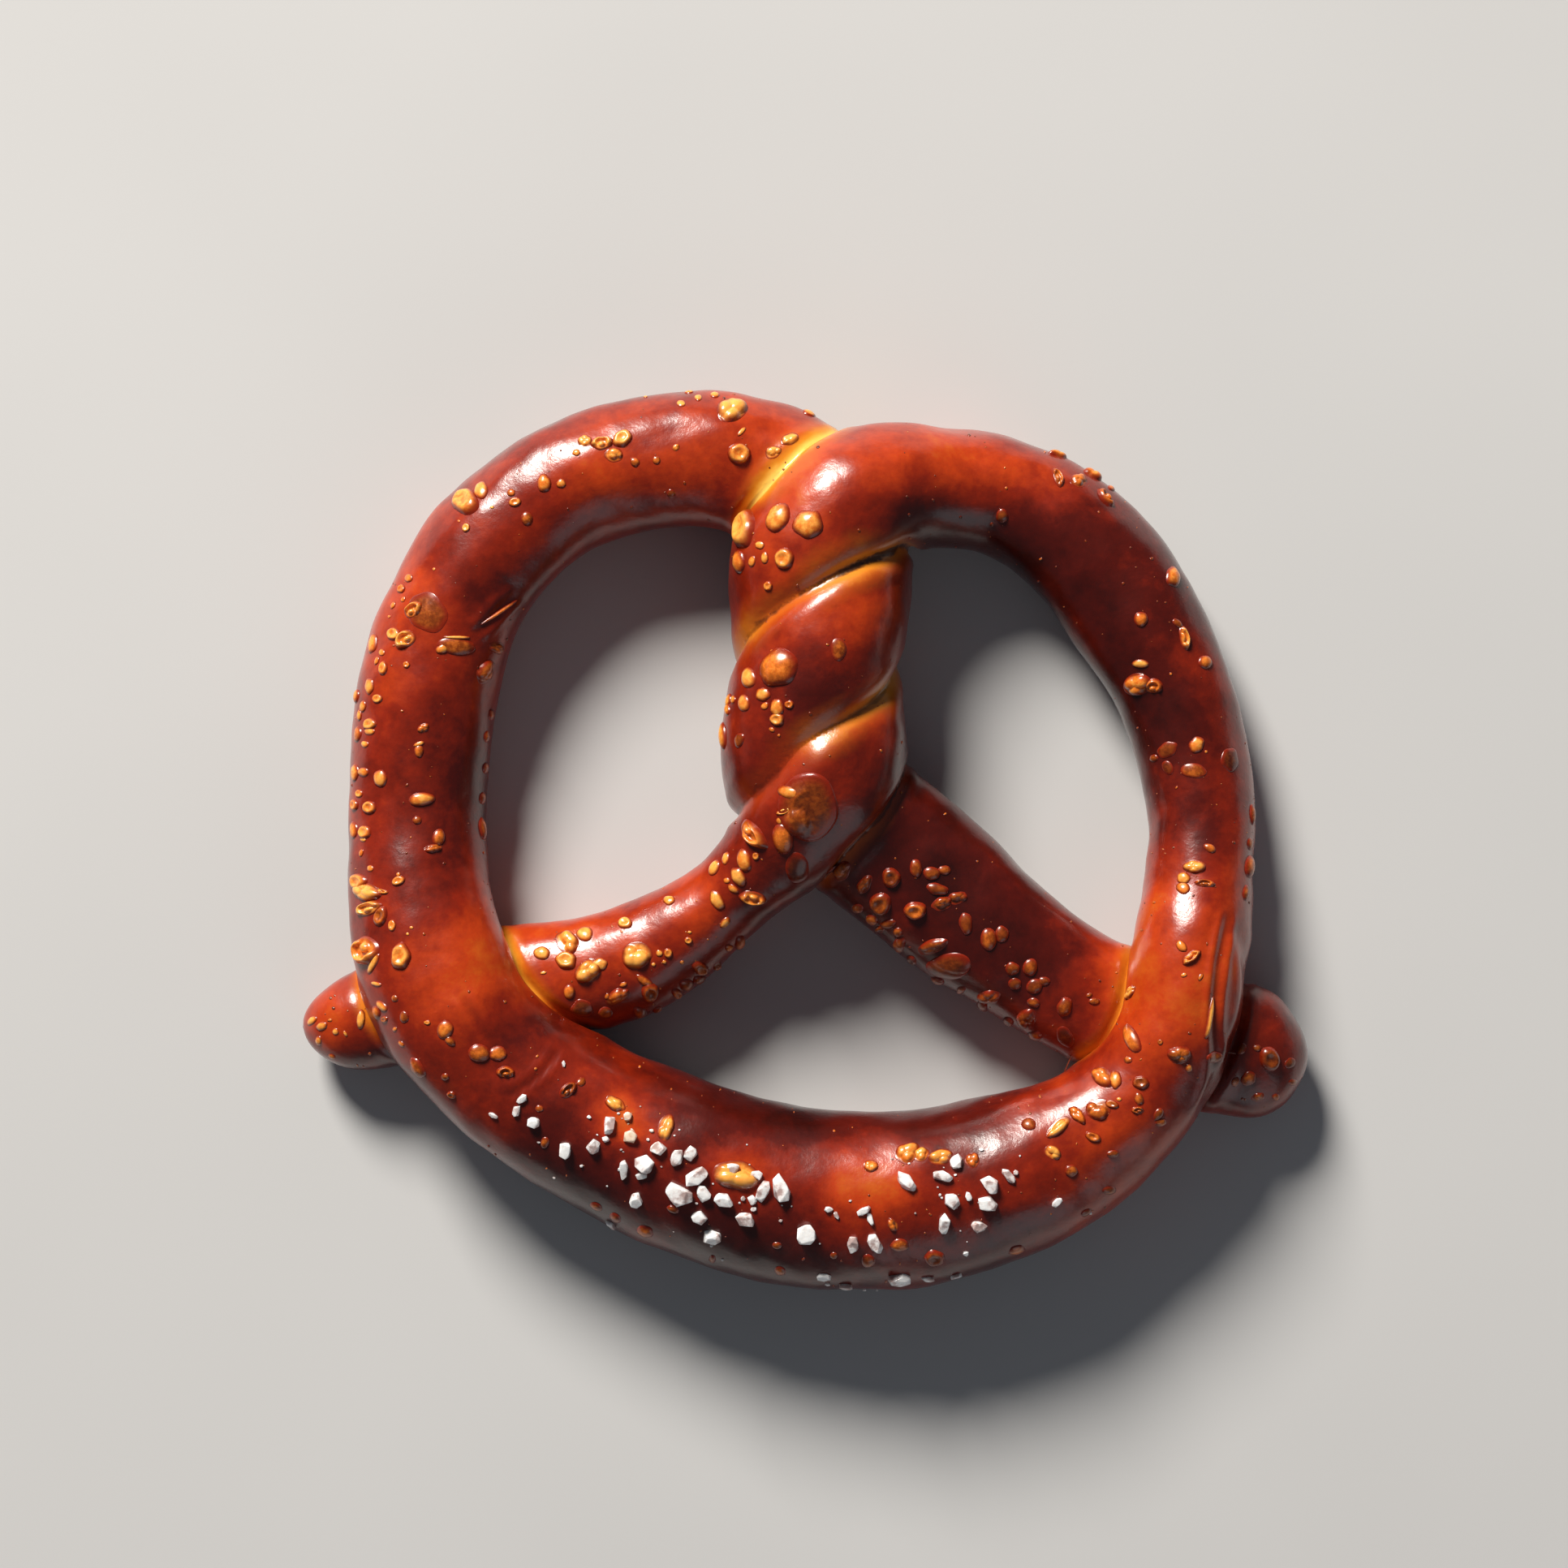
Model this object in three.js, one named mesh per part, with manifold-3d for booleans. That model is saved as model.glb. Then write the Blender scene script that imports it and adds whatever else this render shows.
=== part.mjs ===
import * as THREE from 'three';
import { ConvexGeometry } from 'three/addons/geometries/ConvexGeometry.js';
import { mergeVertices } from 'three/addons/utils/BufferGeometryUtils.js';
import Module from 'manifold-3d';

// A soft pretzel of one rope of dough, lying face up on its baked-flat base.
// Millimetres, +X to the right, +Y towards the two upper loops, +Z up.

// The rope is followed from the tip of the left arm to the tip of the right arm.
// Each row: x, y, height of the rope's centre, half width, half thickness.
const LEFT_ARM = [
  [-80.4, -30.0, 6.0, 7.0, 6.4],
  [-75.0, -29.6, 6.1, 7.6, 6.7],
  [-66.5, -28.0, 6.3, 8.4, 6.9],
  [-57.0, -25.4, 6.2, 9.3, 6.8],
  [-45.4, -22.6, 6.6, 9.3, 7.0],
  [-36.4, -21.7, 7.2, 9.2, 7.6],
  [-28.0, -19.6, 7.8, 9.0, 8.0],
  [-20.3, -15.2, 8.8, 8.0, 7.6],
  [-11.9, -8.9, 10.4, 6.9, 7.3],
  [-5.6, -2.6, 12.6, 8.0, 8.4],
  [-1.1, 3.4, 14.4, 10.2, 10.0],
];
const RIGHT_LOOP = [
  [5.5, 51.6, 15.2, 11.9, 11.0],
  [11.4, 55.2, 13.6, 10.8, 10.2],
  [19.7, 56.1, 10.8, 9.9, 9.6],
  [30.1, 55.1, 8.1, 9.7, 9.4],
  [40.4, 49.9, 8.0, 10.2, 9.3],
  [50.7, 38.3, 7.9, 10.3, 9.2],
  [58.7, 23.9, 7.6, 9.4, 8.9],
  [62.8, 9.0, 7.5, 8.6, 8.6],
  [63.1, -4.5, 10.0, 8.5, 8.6],
  [61.2, -16.8, 13.4, 9.2, 8.8],
  [58.8, -29.3, 14.8, 9.2, 8.8],
  [54.0, -38.7, 13.6, 9.4, 9.2],
  [45.9, -46.5, 11.8, 10.9, 10.8],
];
const BELLY = [
  [35.0, -52.2, 11.1, 12.8, 12.5],
  [21.7, -56.1, 11.3, 13.9, 12.8],
  [7.5, -57.5, 11.4, 14.2, 12.9],
  [-6.7, -55.7, 11.4, 14.2, 12.9],
  [-20.3, -51.2, 11.2, 13.7, 12.7],
  [-30.6, -46.7, 11.0, 13.2, 12.4],
];
const LEFT_LOOP = [
  [-40.3, -41.3, 12.0, 12.6, 11.2],
  [-49.0, -35.0, 13.8, 12.0, 9.8],
  [-55.7, -27.1, 14.8, 12.0, 9.4],
  [-59.5, -17.7, 13.4, 12.1, 9.6],
  [-61.4, -7.7, 10.6, 11.2, 9.9],
  [-61.7, 3.2, 8.7, 10.8, 10.0],
  [-61.0, 16.8, 8.7, 11.1, 10.0],
  [-57.9, 31.6, 8.7, 11.1, 10.0],
  [-50.6, 45.5, 8.7, 10.9, 10.0],
  [-39.0, 55.4, 8.7, 10.6, 10.0],
  [-26.1, 60.0, 8.7, 10.6, 10.0],
  [-14.5, 60.5, 8.5, 10.9, 9.8],
  [-4.1, 57.4, 8.5, 11.4, 9.7],
];
const RIGHT_ARM = [
  [6.2, 4.5, 9.6, 12.1, 10.2],
  [13.9, -1.9, 8.6, 12.0, 9.5],
  [22.2, -8.8, 8.2, 11.9, 9.2],
  [31.9, -16.4, 7.7, 11.0, 8.6],
  [40.1, -22.2, 7.2, 10.2, 7.9],
  [48.8, -27.0, 6.7, 10.3, 7.4],
  [59.1, -31.1, 6.5, 10.6, 7.2],
  [68.1, -33.4, 6.8, 10.5, 7.6],
  [75.0, -34.6, 6.8, 10.2, 7.6],
  [80.2, -35.2, 6.8, 9.6, 7.3],
];

// The twist, where the two arms wind round each other along a leaning axis.
const TWIST = {
  x: 0.8, // of the axis where y is 0
  lean: 0.04, // of the axis, in x for each mm of y
  height: 13.2,
  offset: 2.4, // of each strand from the axis
  halfTurn: 24.5,
  crossing: 40.4, // where the strands lie side by side
  width: 12.2, // half width of a strand
  thickness: 11.6, // half thickness of a strand
};
const TWIST_UP = { from: 12.0, to: 44.4, turn: Math.PI, points: 5 };
const TWIST_DOWN = { from: 48.2, to: 10.0, turn: 0, points: 6 };

const LEFT_TIP = 10.5; // length over which the end of the left arm rounds off
const RIGHT_TIP = 9.0;
const BASE_BLEND = 0.8; // how softly the sides turn into the flat base
const RING_POINTS = 20;
const RING_STEP = 7.0;
const BEND_SHARE = 1.0; // how much closer the rings are in a bend
const TIP_RINGS = 4;
const CURVE_PARTS = 30; // fine points between two rows of the rope

// Blisters of the crust: x, y, half length, half width, turn in degrees.
const BLISTERS = [
  [-53.9, 53.7, 2.1, 2.1, 0], [-28.9, 63.4, 1.6, 1.3, 30], [-32.1, 62.6, 1.7, 1, 5],
  [-11.7, 68.2, 2.3, 1.9, 10], [-10.5, 61, 1.8, 1.7, 0], [-4.4, 50.6, 2.5, 1.7, 65],
  [0.3, 49.5, 2.3, 2.2, 40], [-9.7, 49.1, 3.1, 1.6, 82], [-3.4, 44.1, 1.6, 1.6, 0],
  [5.1, 29.9, 1.8, 1.2, 95], [-4.4, 27.1, 3, 2.7, 70], [-9, 25.6, 1.6, 1.2, 90],
  [0.3, 5.1, 5.3, 5, 90], [-2.5, 7.5, 2.2, 1, -18], [-3.6, 0.3, 2.3, 1.6, 95],
  [-8.3, 1, 2.7, 1.3, -52], [-9.7, -3.1, 1.8, 1.2, -75], [-8.3, -9.1, 2.2, 1, -10],
  [-1.3, -4.4, 2.3, 1.8, 90], [-37.8, -16.1, 1.9, 1.6, -40], [-37.9, -19, 1.7, 1.4, 0],
  [-26.7, -18.2, 2.3, 2.2, 0], [-34.4, -20.7, 2.2, 1.8, 30], [-38.8, -25.9, 1.8, 1.2, 90],
  [-35.4, -26.7, 1.7, 1.4, 0], [-29.8, -24.8, 1.9, 1.2, 30], [-24.6, -24.1, 1.6, 1.3, 90],
  [5.7, -4.9, 1.7, 1.2, 60], [13.5, -5.9, 1.6, 1.4, 90], [11.8, -10.1, 1.8, 1.7, 0],
  [17.3, -11.1, 1.8, 1.4, 0], [25.3, -13.1, 1.7, 1, 95], [28.9, -15.6, 1.7, 1.3, 95],
  [20, -16.9, 2.3, 1.2, 20], [22.5, -20.2, 3.5, 1.9, 5], [29, -25, 1.8, 1, 0],
  [35, -28.5, 1.7, 1.4, 70], [41, -26.4, 1.6, 1.2, 80], [41.2, -31.3, 1.8, 1.2, -60],
  [58.3, 41.8, 1.6, 1.2, 95], [52.4, 24.6, 2.1, 1.7, 5], [57.2, 14.3, 1.6, 1.2, 35],
  [61.3, 11, 1.9, 1.2, -5], [67.3, 12.8, 1.8, 1.4, 90], [61.2, -4.1, 1.8, 1, 0],
  [51.1, -31, 2.3, 1, -70], [58.5, -33.5, 1.8, 1.4, 0], [46.6, -37.1, 1.7, 1.4, -30],
  [45.9, -42.1, 1.9, 1.6, 0], [73.6, -34.7, 1.9, 1.6, -60], [39.6, -44.9, 2.3, 0.9, 40],
  [20.2, -65.5, 1.6, 1.3, 0], [16, -48.9, 2.1, 1.4, 20], [-10.8, -52.3, 3.7, 2.2, -10],
  [-29.9, -41.2, 1.7, 1, -30], [-21.9, -44.9, 2.1, 1.2, -65], [-51.1, -33.2, 1.7, 1.4, 0],
  [-56.4, -29.5, 1.4, 1.3, 60], [-63.5, -18.1, 2.1, 1.6, 85], [-69.4, -17.4, 2.3, 1.9, 90],
  [-69, -10.7, 2.3, 1, 20], [-70.8, -6.5, 1.4, 1.3, 0], [-69.5, -8.1, 2.3, 1.4, -10],
  [-60.5, 6.5, 2.1, 1, 5], [-63.2, 31.7, 1.8, 1.3, 40], [-59.7, 36, 3.6, 3, -45],
  [-61.8, 36.4, 1.7, 1.2, 30], [-55.3, 30.8, 2.6, 1.6, 0], [-50.5, 26.6, 1.9, 1.2, 60],
  [70.4, -4.2, 1.8, 1, 85],
];
const BLISTER_RISE = 0.4; // height of a dome in its mean half size
const BROAD_BLISTER = 3; // mean half size from which a blister stays low
const BROAD_RISE = 0.14;

// Coarse salt on the front of the belly: x, y, half length, half width, turn in degrees.
const SALT = [
  [-30.8, -44.5, 1.8, 1, 80], [-33.2, -47.8, 1.4, 1.2, 80], [-27.5, -46.3, 1.4, 1.2, 60],
  [-23, -48.2, 1.4, 1.3, 0], [-28.5, -51.4, 1.8, 0.9, 85], [-25.3, -50.6, 2.1, 1.6, -30],
  [-20.2, -49.5, 1.7, 1.2, 75], [-18, -48.9, 1.4, 1, 55], [-17.1, -52.5, 2.3, 1.4, 35],
  [-19.9, -55.2, 2.5, 1.9, -35], [-16, -55.1, 1.6, 1.2, -60], [-26.5, -56.2, 1.4, 1.2, 60],
  [-16.7, -58.8, 1.6, 1.2, -10], [-14.6, -62, 1.7, 1.4, -20], [-12.9, -56.1, 1.8, 1.3, -15],
  [-30.7, -60.7, 1.2, 0.7, -55], [-9.4, -59.1, 1.9, 1.3, -20], [-6.7, -54.8, 2.1, 1.2, 70],
  [-3.9, -54.5, 2.6, 1.6, -80], [-8.4, -56.2, 1, 0.8, -50], [0.1, -61.6, 2.1, 1.7, 80],
  [7.4, -63, 1.6, 1, 80], [9.1, -57.8, 1.3, 0.8, 30], [10.7, -62.7, 1.9, 1.3, -65],
  [21.7, -59.8, 1.7, 1, 85], [22.8, -56.2, 1.7, 1.3, -50], [27.1, -60.2, 1.4, 1, -10],
  [28.9, -53.9, 1.9, 1.4, -40], [28.5, -56.7, 1.8, 1.4, -20], [15.6, -53.3, 2.3, 1.2, -50],
  [23.5, -50.4, 1.6, 1.2, 80], [21.3, -52.5, 1.9, 1, -10], [31.8, -52.5, 1.7, 0.8, -50],
  [2.8, -68.5, 1.4, 0.8, 0], [6.2, -70.2, 1.3, 0.8, -10], [14.8, -68.8, 1.9, 1.4, -10],
  [-42.6, -44.1, 1.2, 1, 20], [-37.6, -48.5, 1.7, 1.2, 85], [-45.3, -42.3, 1.2, 0.7, 70],
  [-44.4, -40.4, 1.2, 0.7, 40], [-11.7, -51.5, 1.6, 1.2, 40], [-7.7, -52.3, 1.2, 0.9, -40],
];
const GRAIN_RISE = 0.75; // half height of a grain in its half width

// A row for a strand of the twist, where its axis passes y.
function twistRow(y, turn) {
  const angle = Math.PI * (TWIST.crossing - y) / TWIST.halfTurn + turn;
  const x = TWIST.x + TWIST.lean * y + TWIST.offset * Math.cos(angle);
  const z = TWIST.height + TWIST.offset * Math.sin(angle);
  return [x, y, z, TWIST.width, TWIST.thickness];
}

function twistRows(strand) {
  const rows = [];
  for (let i = 0; i < strand.points; i += 1) {
    const y = strand.from + (strand.to - strand.from) * i / (strand.points - 1);
    rows.push(twistRow(y, strand.turn));
  }
  return rows;
}

// The row at a fraction u between the middle two of four, on a centripetal curve.
function curveRow(four, u) {
  const knots = [0];
  for (let i = 1; i < 4; i += 1) {
    const gap = Math.hypot(four[i][0] - four[i - 1][0], four[i][1] - four[i - 1][1]);
    knots.push(knots[i - 1] + Math.sqrt(gap));
  }
  const t = knots[1] + (knots[2] - knots[1]) * u;
  let rows = four;
  for (let level = 1; level < 4; level += 1) {
    const next = [];
    for (let i = 0; i + 1 < rows.length; i += 1) {
      const low = level === 3 ? 1 : i;
      const high = level === 3 ? 2 : i + level;
      const a = (knots[high] - t) / (knots[high] - knots[low]);
      next.push(rows[i].map((value, k) => value * a + rows[i + 1][k] * (1 - a)));
    }
    rows = next;
  }
  return rows[0];
}

// Fine points along the rope, each with its length so far. The reach counts the
// outer side of a bend as well, so that rings at even reach are closer in a bend.
function followRope(rows) {
  const ends = [
    rows[0].map((value, k) => 2 * value - rows[1][k]),
    ...rows,
    rows.at(-1).map((value, k) => 2 * value - rows.at(-2)[k]),
  ];
  const path = [];
  for (let i = 0; i < rows.length - 1; i += 1) {
    for (let j = i === 0 ? 0 : 1; j <= CURVE_PARTS; j += 1) {
      const row = curveRow(ends.slice(i, i + 4), j / CURVE_PARTS);
      path.push({ row, length: 0, reach: 0, heading: 0 });
    }
  }
  for (let i = 1; i < path.length; i += 1) {
    const now = path[i];
    const last = path[i - 1];
    const step = [0, 1, 2].map((k) => now.row[k] - last.row[k]);
    now.heading = Math.atan2(step[1], step[0]);
    const bend = i === 1 ? 0 : Math.abs(Math.sin(now.heading - last.heading));
    now.length = last.length + Math.hypot(...step);
    now.reach = last.reach + Math.hypot(...step) + BEND_SHARE * now.row[3] * bend;
  }
  return path;
}

// The stretch of the path where one of its measures passes a value, and how far along it.
function stretchAt(path, known, value) {
  let i = 1;
  while (i < path.length - 1 && path[i][known] < value) i += 1;
  const before = path[i - 1];
  const after = path[i];
  return { before, after, share: (value - before[known]) / (after[known] - before[known]) };
}

function measureAt(path, wanted, known, value) {
  const { before, after, share } = stretchAt(path, known, value);
  return before[wanted] + (after[wanted] - before[wanted]) * share;
}

function rowAt(path, length) {
  const { before, after, share } = stretchAt(path, 'length', length);
  return before.row.map((value, k) => value + (after.row[k] - value) * share);
}

// A ring round the rope: its centre, sideways and upward directions, and half sizes.
function ringAt(path, length, scale) {
  const total = path.at(-1).length;
  const row = rowAt(path, length);
  const before = rowAt(path, Math.max(0, length - 0.5));
  const after = rowAt(path, Math.min(total, length + 0.5));
  const along = new THREE.Vector3(after[0] - before[0], after[1] - before[1], after[2] - before[2]);
  along.normalize();
  const side = new THREE.Vector3(0, 0, 1).cross(along).normalize();
  const up = along.clone().cross(side);
  const centre = new THREE.Vector3(row[0], row[1], row[2]);
  return { centre, side, up, width: row[3] * scale, thickness: row[4] * scale };
}

// The rope is never lower than its base, and turns into it softly.
function aboveBase(point) {
  if (point.z < -BASE_BLEND) point.z = 0;
  else if (point.z < BASE_BLEND) point.z = (point.z + BASE_BLEND) ** 2 / (4 * BASE_BLEND);
  return point;
}

function pointOnRing(ring, angle) {
  const point = ring.centre.clone();
  point.addScaledVector(ring.side, ring.width * Math.cos(angle));
  point.addScaledVector(ring.up, ring.thickness * Math.sin(angle));
  return aboveBase(point);
}

// The share of its full size that the rope has where it rounds off to a tip.
function tipShare(path, length) {
  const total = path.at(-1).length;
  const left = Math.max(0, 1 - length / LEFT_TIP);
  const right = Math.max(0, 1 - (total - length) / RIGHT_TIP);
  return Math.sqrt(1 - Math.max(left, right) ** 2);
}

// The rings of one half of the rope, from the belly out to its rounded tip.
function ringsOfHalf(path, middle, end, tip) {
  const sign = Math.sign(end - middle);
  const from = measureAt(path, 'reach', 'length', middle);
  const to = measureAt(path, 'reach', 'length', end - sign * tip);
  const steps = Math.round(Math.abs(to - from) / RING_STEP);
  const rings = [];
  for (let i = 0; i <= steps; i += 1) {
    const reach = from + (to - from) * i / steps;
    rings.push(ringAt(path, measureAt(path, 'length', 'reach', reach), 1));
  }
  for (let i = 1; i <= TIP_RINGS; i += 1) {
    const angle = (Math.PI / 2) * i / (TIP_RINGS + 0.6);
    const length = end - sign * tip * (1 - Math.sin(angle));
    rings.push(ringAt(path, length, Math.cos(angle)));
  }
  const last = ringAt(path, end, 0).centre;
  return { rings, last };
}

// A closed skin over the rings: a flat end at the belly, a point at the tip.
function skin(half, outward) {
  const points = [half.rings[0].centre.clone()];
  for (const ring of half.rings) {
    for (let i = 0; i < RING_POINTS; i += 1) {
      points.push(pointOnRing(ring, 2 * Math.PI * i / RING_POINTS));
    }
  }
  points.push(half.last);
  const faces = [];
  const face = (a, b, c) => (outward ? faces.push(a, b, c) : faces.push(a, c, b));
  const count = half.rings.length;
  for (let i = 0; i < RING_POINTS; i += 1) {
    const j = (i + 1) % RING_POINTS;
    face(0, 1 + j, 1 + i);
    for (let k = 0; k < count - 1; k += 1) {
      const a = 1 + k * RING_POINTS;
      const b = a + RING_POINTS;
      face(a + i, a + j, b + j);
      face(a + i, b + j, b + i);
    }
    const end = 1 + (count - 1) * RING_POINTS;
    face(end + i, end + j, points.length - 1);
  }
  const geometry = new THREE.BufferGeometry().setFromPoints(points);
  geometry.setIndex(faces);
  return geometry;
}

// A repeatable run of numbers from 0 to 1.
function numbersFrom(seed) {
  let state = seed;
  return () => {
    state = (state * 1664525 + 1013904223) % 4294967296;
    return state / 4294967296;
  };
}

// The highest ring of the rope at x, y, and how far out from its middle that is.
function highestAt(rings, x, y) {
  let best = null;
  for (const ring of rings) {
    const dx = x - ring.centre.x;
    const dy = y - ring.centre.y;
    const along = Math.abs(dx * ring.side.y - dy * ring.side.x);
    const across = dx * ring.side.x + dy * ring.side.y;
    const offset = Math.max(-0.96, Math.min(0.96, across / ring.width));
    const miss = along + Math.max(0, Math.abs(across) - ring.width);
    const height = ring.centre.z + ring.thickness * Math.sqrt(1 - offset * offset);
    const score = height - 30 * Math.max(0, miss - 0.6);
    if (!best || score > best.score) best = { ring, offset, score };
  }
  return best;
}

// The crust over x, y: its point, the direction it faces, and the half width of the rope.
// A ring of a sloping rope leans, so the place is corrected until its point is over x, y.
function crustOver(rings, x, y) {
  const point = new THREE.Vector3();
  const normal = new THREE.Vector3();
  const shift = new THREE.Vector2();
  let width = 0;
  for (let pass = 0; pass < 4; pass += 1) {
    const { ring, offset } = highestAt(rings, x + shift.x, y + shift.y);
    const rise = Math.sqrt(1 - offset * offset);
    width = ring.width;
    point.copy(ring.centre);
    point.addScaledVector(ring.side, ring.width * offset);
    point.addScaledVector(ring.up, ring.thickness * rise);
    normal.copy(ring.side).multiplyScalar(offset / ring.width);
    normal.addScaledVector(ring.up, rise / ring.thickness).normalize();
    shift.x += 0.8 * (x - point.x);
    shift.y += 0.8 * (y - point.y);
    shift.clampLength(0, 3);
  }
  return { point, normal, width };
}

// A shape made upright at the origin, moved on to the crust and turned about its normal.
function setOnCrust(geometry, crust, turn, sink) {
  const spin = new THREE.Matrix4().makeRotationZ(THREE.MathUtils.degToRad(turn));
  const tilt = new THREE.Quaternion().setFromUnitVectors(new THREE.Vector3(0, 0, 1), crust.normal);
  const place = crust.point.clone().addScaledVector(crust.normal, -sink);
  const move = new THREE.Matrix4().compose(place, tilt, new THREE.Vector3(1, 1, 1));
  return geometry.applyMatrix4(spin).applyMatrix4(move);
}

// A low dome, sunk until its rim meets the round crust.
function blister(rings, [x, y, length, width, turn]) {
  const size = Math.sqrt(length * width);
  const crust = crustOver(rings, x, y);
  const sag = size * size / (2 * crust.width);
  const rise = size * (size > BROAD_BLISTER ? BROAD_RISE : BLISTER_RISE);
  const geometry = new THREE.SphereGeometry(1, size > 2.2 ? 9 : 7, 4).rotateX(Math.PI / 2);
  geometry.scale(length, width, rise + sag);
  return setOnCrust(geometry, crust, turn, sag);
}

// A block with its corners pulled in unevenly.
function saltGrain(rings, random, [x, y, length, width, turn]) {
  const corners = [];
  for (let i = 0; i < 8; i += 1) {
    const corner = new THREE.Vector3(i & 1 ? 1 : -1, i & 2 ? 1 : -1, i & 4 ? 1 : -1);
    corner.multiply(new THREE.Vector3(length, width, GRAIN_RISE * width));
    corners.push(corner.multiplyScalar(0.68 + 0.32 * random()));
  }
  const geometry = new ConvexGeometry(corners);
  geometry.rotateX(0.5 * (random() - 0.5));
  geometry.rotateY(0.5 * (random() - 0.5));
  return setOnCrust(geometry, crustOver(rings, x, y), turn, -0.3 * width);
}

const wasm = await Module();
wasm.setup();

function solid(geometry) {
  geometry.deleteAttribute('normal');
  geometry.deleteAttribute('uv');
  const merged = mergeVertices(geometry, 1e-5);
  const vertProperties = Float32Array.from(merged.attributes.position.array);
  const triVerts = Uint32Array.from(merged.index.array);
  return new wasm.Manifold(new wasm.Mesh({ numProp: 3, vertProperties, triVerts }));
}

const arms = [...LEFT_ARM, ...twistRows(TWIST_UP), ...RIGHT_LOOP];
const path = followRope([...arms, ...BELLY, ...LEFT_LOOP, ...twistRows(TWIST_DOWN), ...RIGHT_ARM]);
const middleRow = arms.length + BELLY.length / 2;
const middle = path[middleRow * CURVE_PARTS].length;
const leftHalf = ringsOfHalf(path, middle, 0, LEFT_TIP);
const rightHalf = ringsOfHalf(path, middle, path.at(-1).length, RIGHT_TIP);
const rope = solid(skin(leftHalf, false)).add(solid(skin(rightHalf, true)));
const pieces = [rope];

// Fine rings, on which the blisters and the salt are placed.
const fine = [];
for (let length = 0.4; length < path.at(-1).length; length += 0.4) {
  fine.push(ringAt(path, length, tipShare(path, length)));
}
const random = numbersFrom(71);
for (const row of BLISTERS) pieces.push(solid(blister(fine, row)));
for (const row of SALT) pieces.push(solid(saltGrain(fine, random, row)));

const whole = wasm.Manifold.union(pieces).getMesh();
const body = new THREE.BufferGeometry();
body.setAttribute('position', new THREE.BufferAttribute(whole.vertProperties, 3));
body.setIndex(new THREE.BufferAttribute(whole.triVerts, 1));

const crust = new THREE.MeshStandardMaterial({ color: 0x8a3d17, roughness: 0.3 });
const pretzel = new THREE.Mesh(body, crust);
pretzel.name = 'pretzel';

const group = new THREE.Group();
group.name = 'soft_pretzel';
group.add(pretzel);
export default group;
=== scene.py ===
"""A soft lye pretzel: a glossy mahogany crust with golden seams, blisters and coarse salt.

The crust is modelled finely over the same rope of dough as the plain solid, in millimetres,
and is written to meshes in metres.
"""
import math

import bmesh
import bpy
import numpy as np
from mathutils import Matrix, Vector
from mathutils.bvhtree import BVHTree


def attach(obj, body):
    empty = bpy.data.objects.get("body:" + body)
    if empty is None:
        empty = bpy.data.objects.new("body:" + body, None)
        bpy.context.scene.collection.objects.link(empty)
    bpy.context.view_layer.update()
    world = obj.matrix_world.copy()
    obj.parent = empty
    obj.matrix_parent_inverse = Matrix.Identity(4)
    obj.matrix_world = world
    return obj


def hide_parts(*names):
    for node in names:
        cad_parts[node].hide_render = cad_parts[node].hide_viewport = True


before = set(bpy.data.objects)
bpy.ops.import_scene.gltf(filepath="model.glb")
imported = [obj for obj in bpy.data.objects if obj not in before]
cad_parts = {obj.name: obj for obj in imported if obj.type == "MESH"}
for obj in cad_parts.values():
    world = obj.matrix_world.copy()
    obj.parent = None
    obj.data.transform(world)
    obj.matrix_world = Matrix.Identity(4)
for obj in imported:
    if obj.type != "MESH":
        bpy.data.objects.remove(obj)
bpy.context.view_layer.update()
MM = 0.001

# The rope, from the tip of the left arm to the tip of the right arm.
# Each row: x, y, height of the rope's centre, half width, half thickness, in mm.
LEFT_ARM = [
    [-80.4, -30, 6, 7, 6.4],
    [-75, -29.6, 6.1, 7.6, 6.7],
    [-66.5, -28, 6.3, 8.4, 6.9],
    [-57, -25.4, 6.2, 9.3, 6.8],
    [-45.4, -22.6, 6.6, 9.3, 7],
    [-36.4, -21.7, 7.2, 9.2, 7.6],
    [-28, -19.6, 7.8, 9, 8],
    [-20.3, -15.2, 8.8, 8, 7.6],
    [-11.9, -8.9, 10.4, 6.9, 7.3],
    [-5.6, -2.6, 12.6, 8, 8.4],
    [-1.1, 3.4, 14.4, 10.2, 10],
]
RIGHT_LOOP = [
    [5.5, 51.6, 15.2, 11.9, 11],
    [11.4, 55.2, 13.6, 10.8, 10.2],
    [19.7, 56.1, 10.8, 9.9, 9.6],
    [30.1, 55.1, 8.1, 9.7, 9.4],
    [40.4, 49.9, 8, 10.2, 9.3],
    [50.7, 38.3, 7.9, 10.3, 9.2],
    [58.7, 23.9, 7.6, 9.4, 8.9],
    [62.8, 9, 7.5, 8.6, 8.6],
    [63.1, -4.5, 10, 8.5, 8.6],
    [61.2, -16.8, 13.4, 9.2, 8.8],
    [58.8, -29.3, 14.8, 9.2, 8.8],
    [54, -38.7, 13.6, 9.4, 9.2],
    [45.9, -46.5, 11.8, 10.9, 10.8],
]
BELLY = [
    [35, -52.2, 11.1, 12.8, 12.5],
    [21.7, -56.1, 11.3, 13.9, 12.8],
    [7.5, -57.5, 11.4, 14.2, 12.9],
    [-6.7, -55.7, 11.4, 14.2, 12.9],
    [-20.3, -51.2, 11.2, 13.7, 12.7],
    [-30.6, -46.7, 11, 13.2, 12.4],
]
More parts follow.
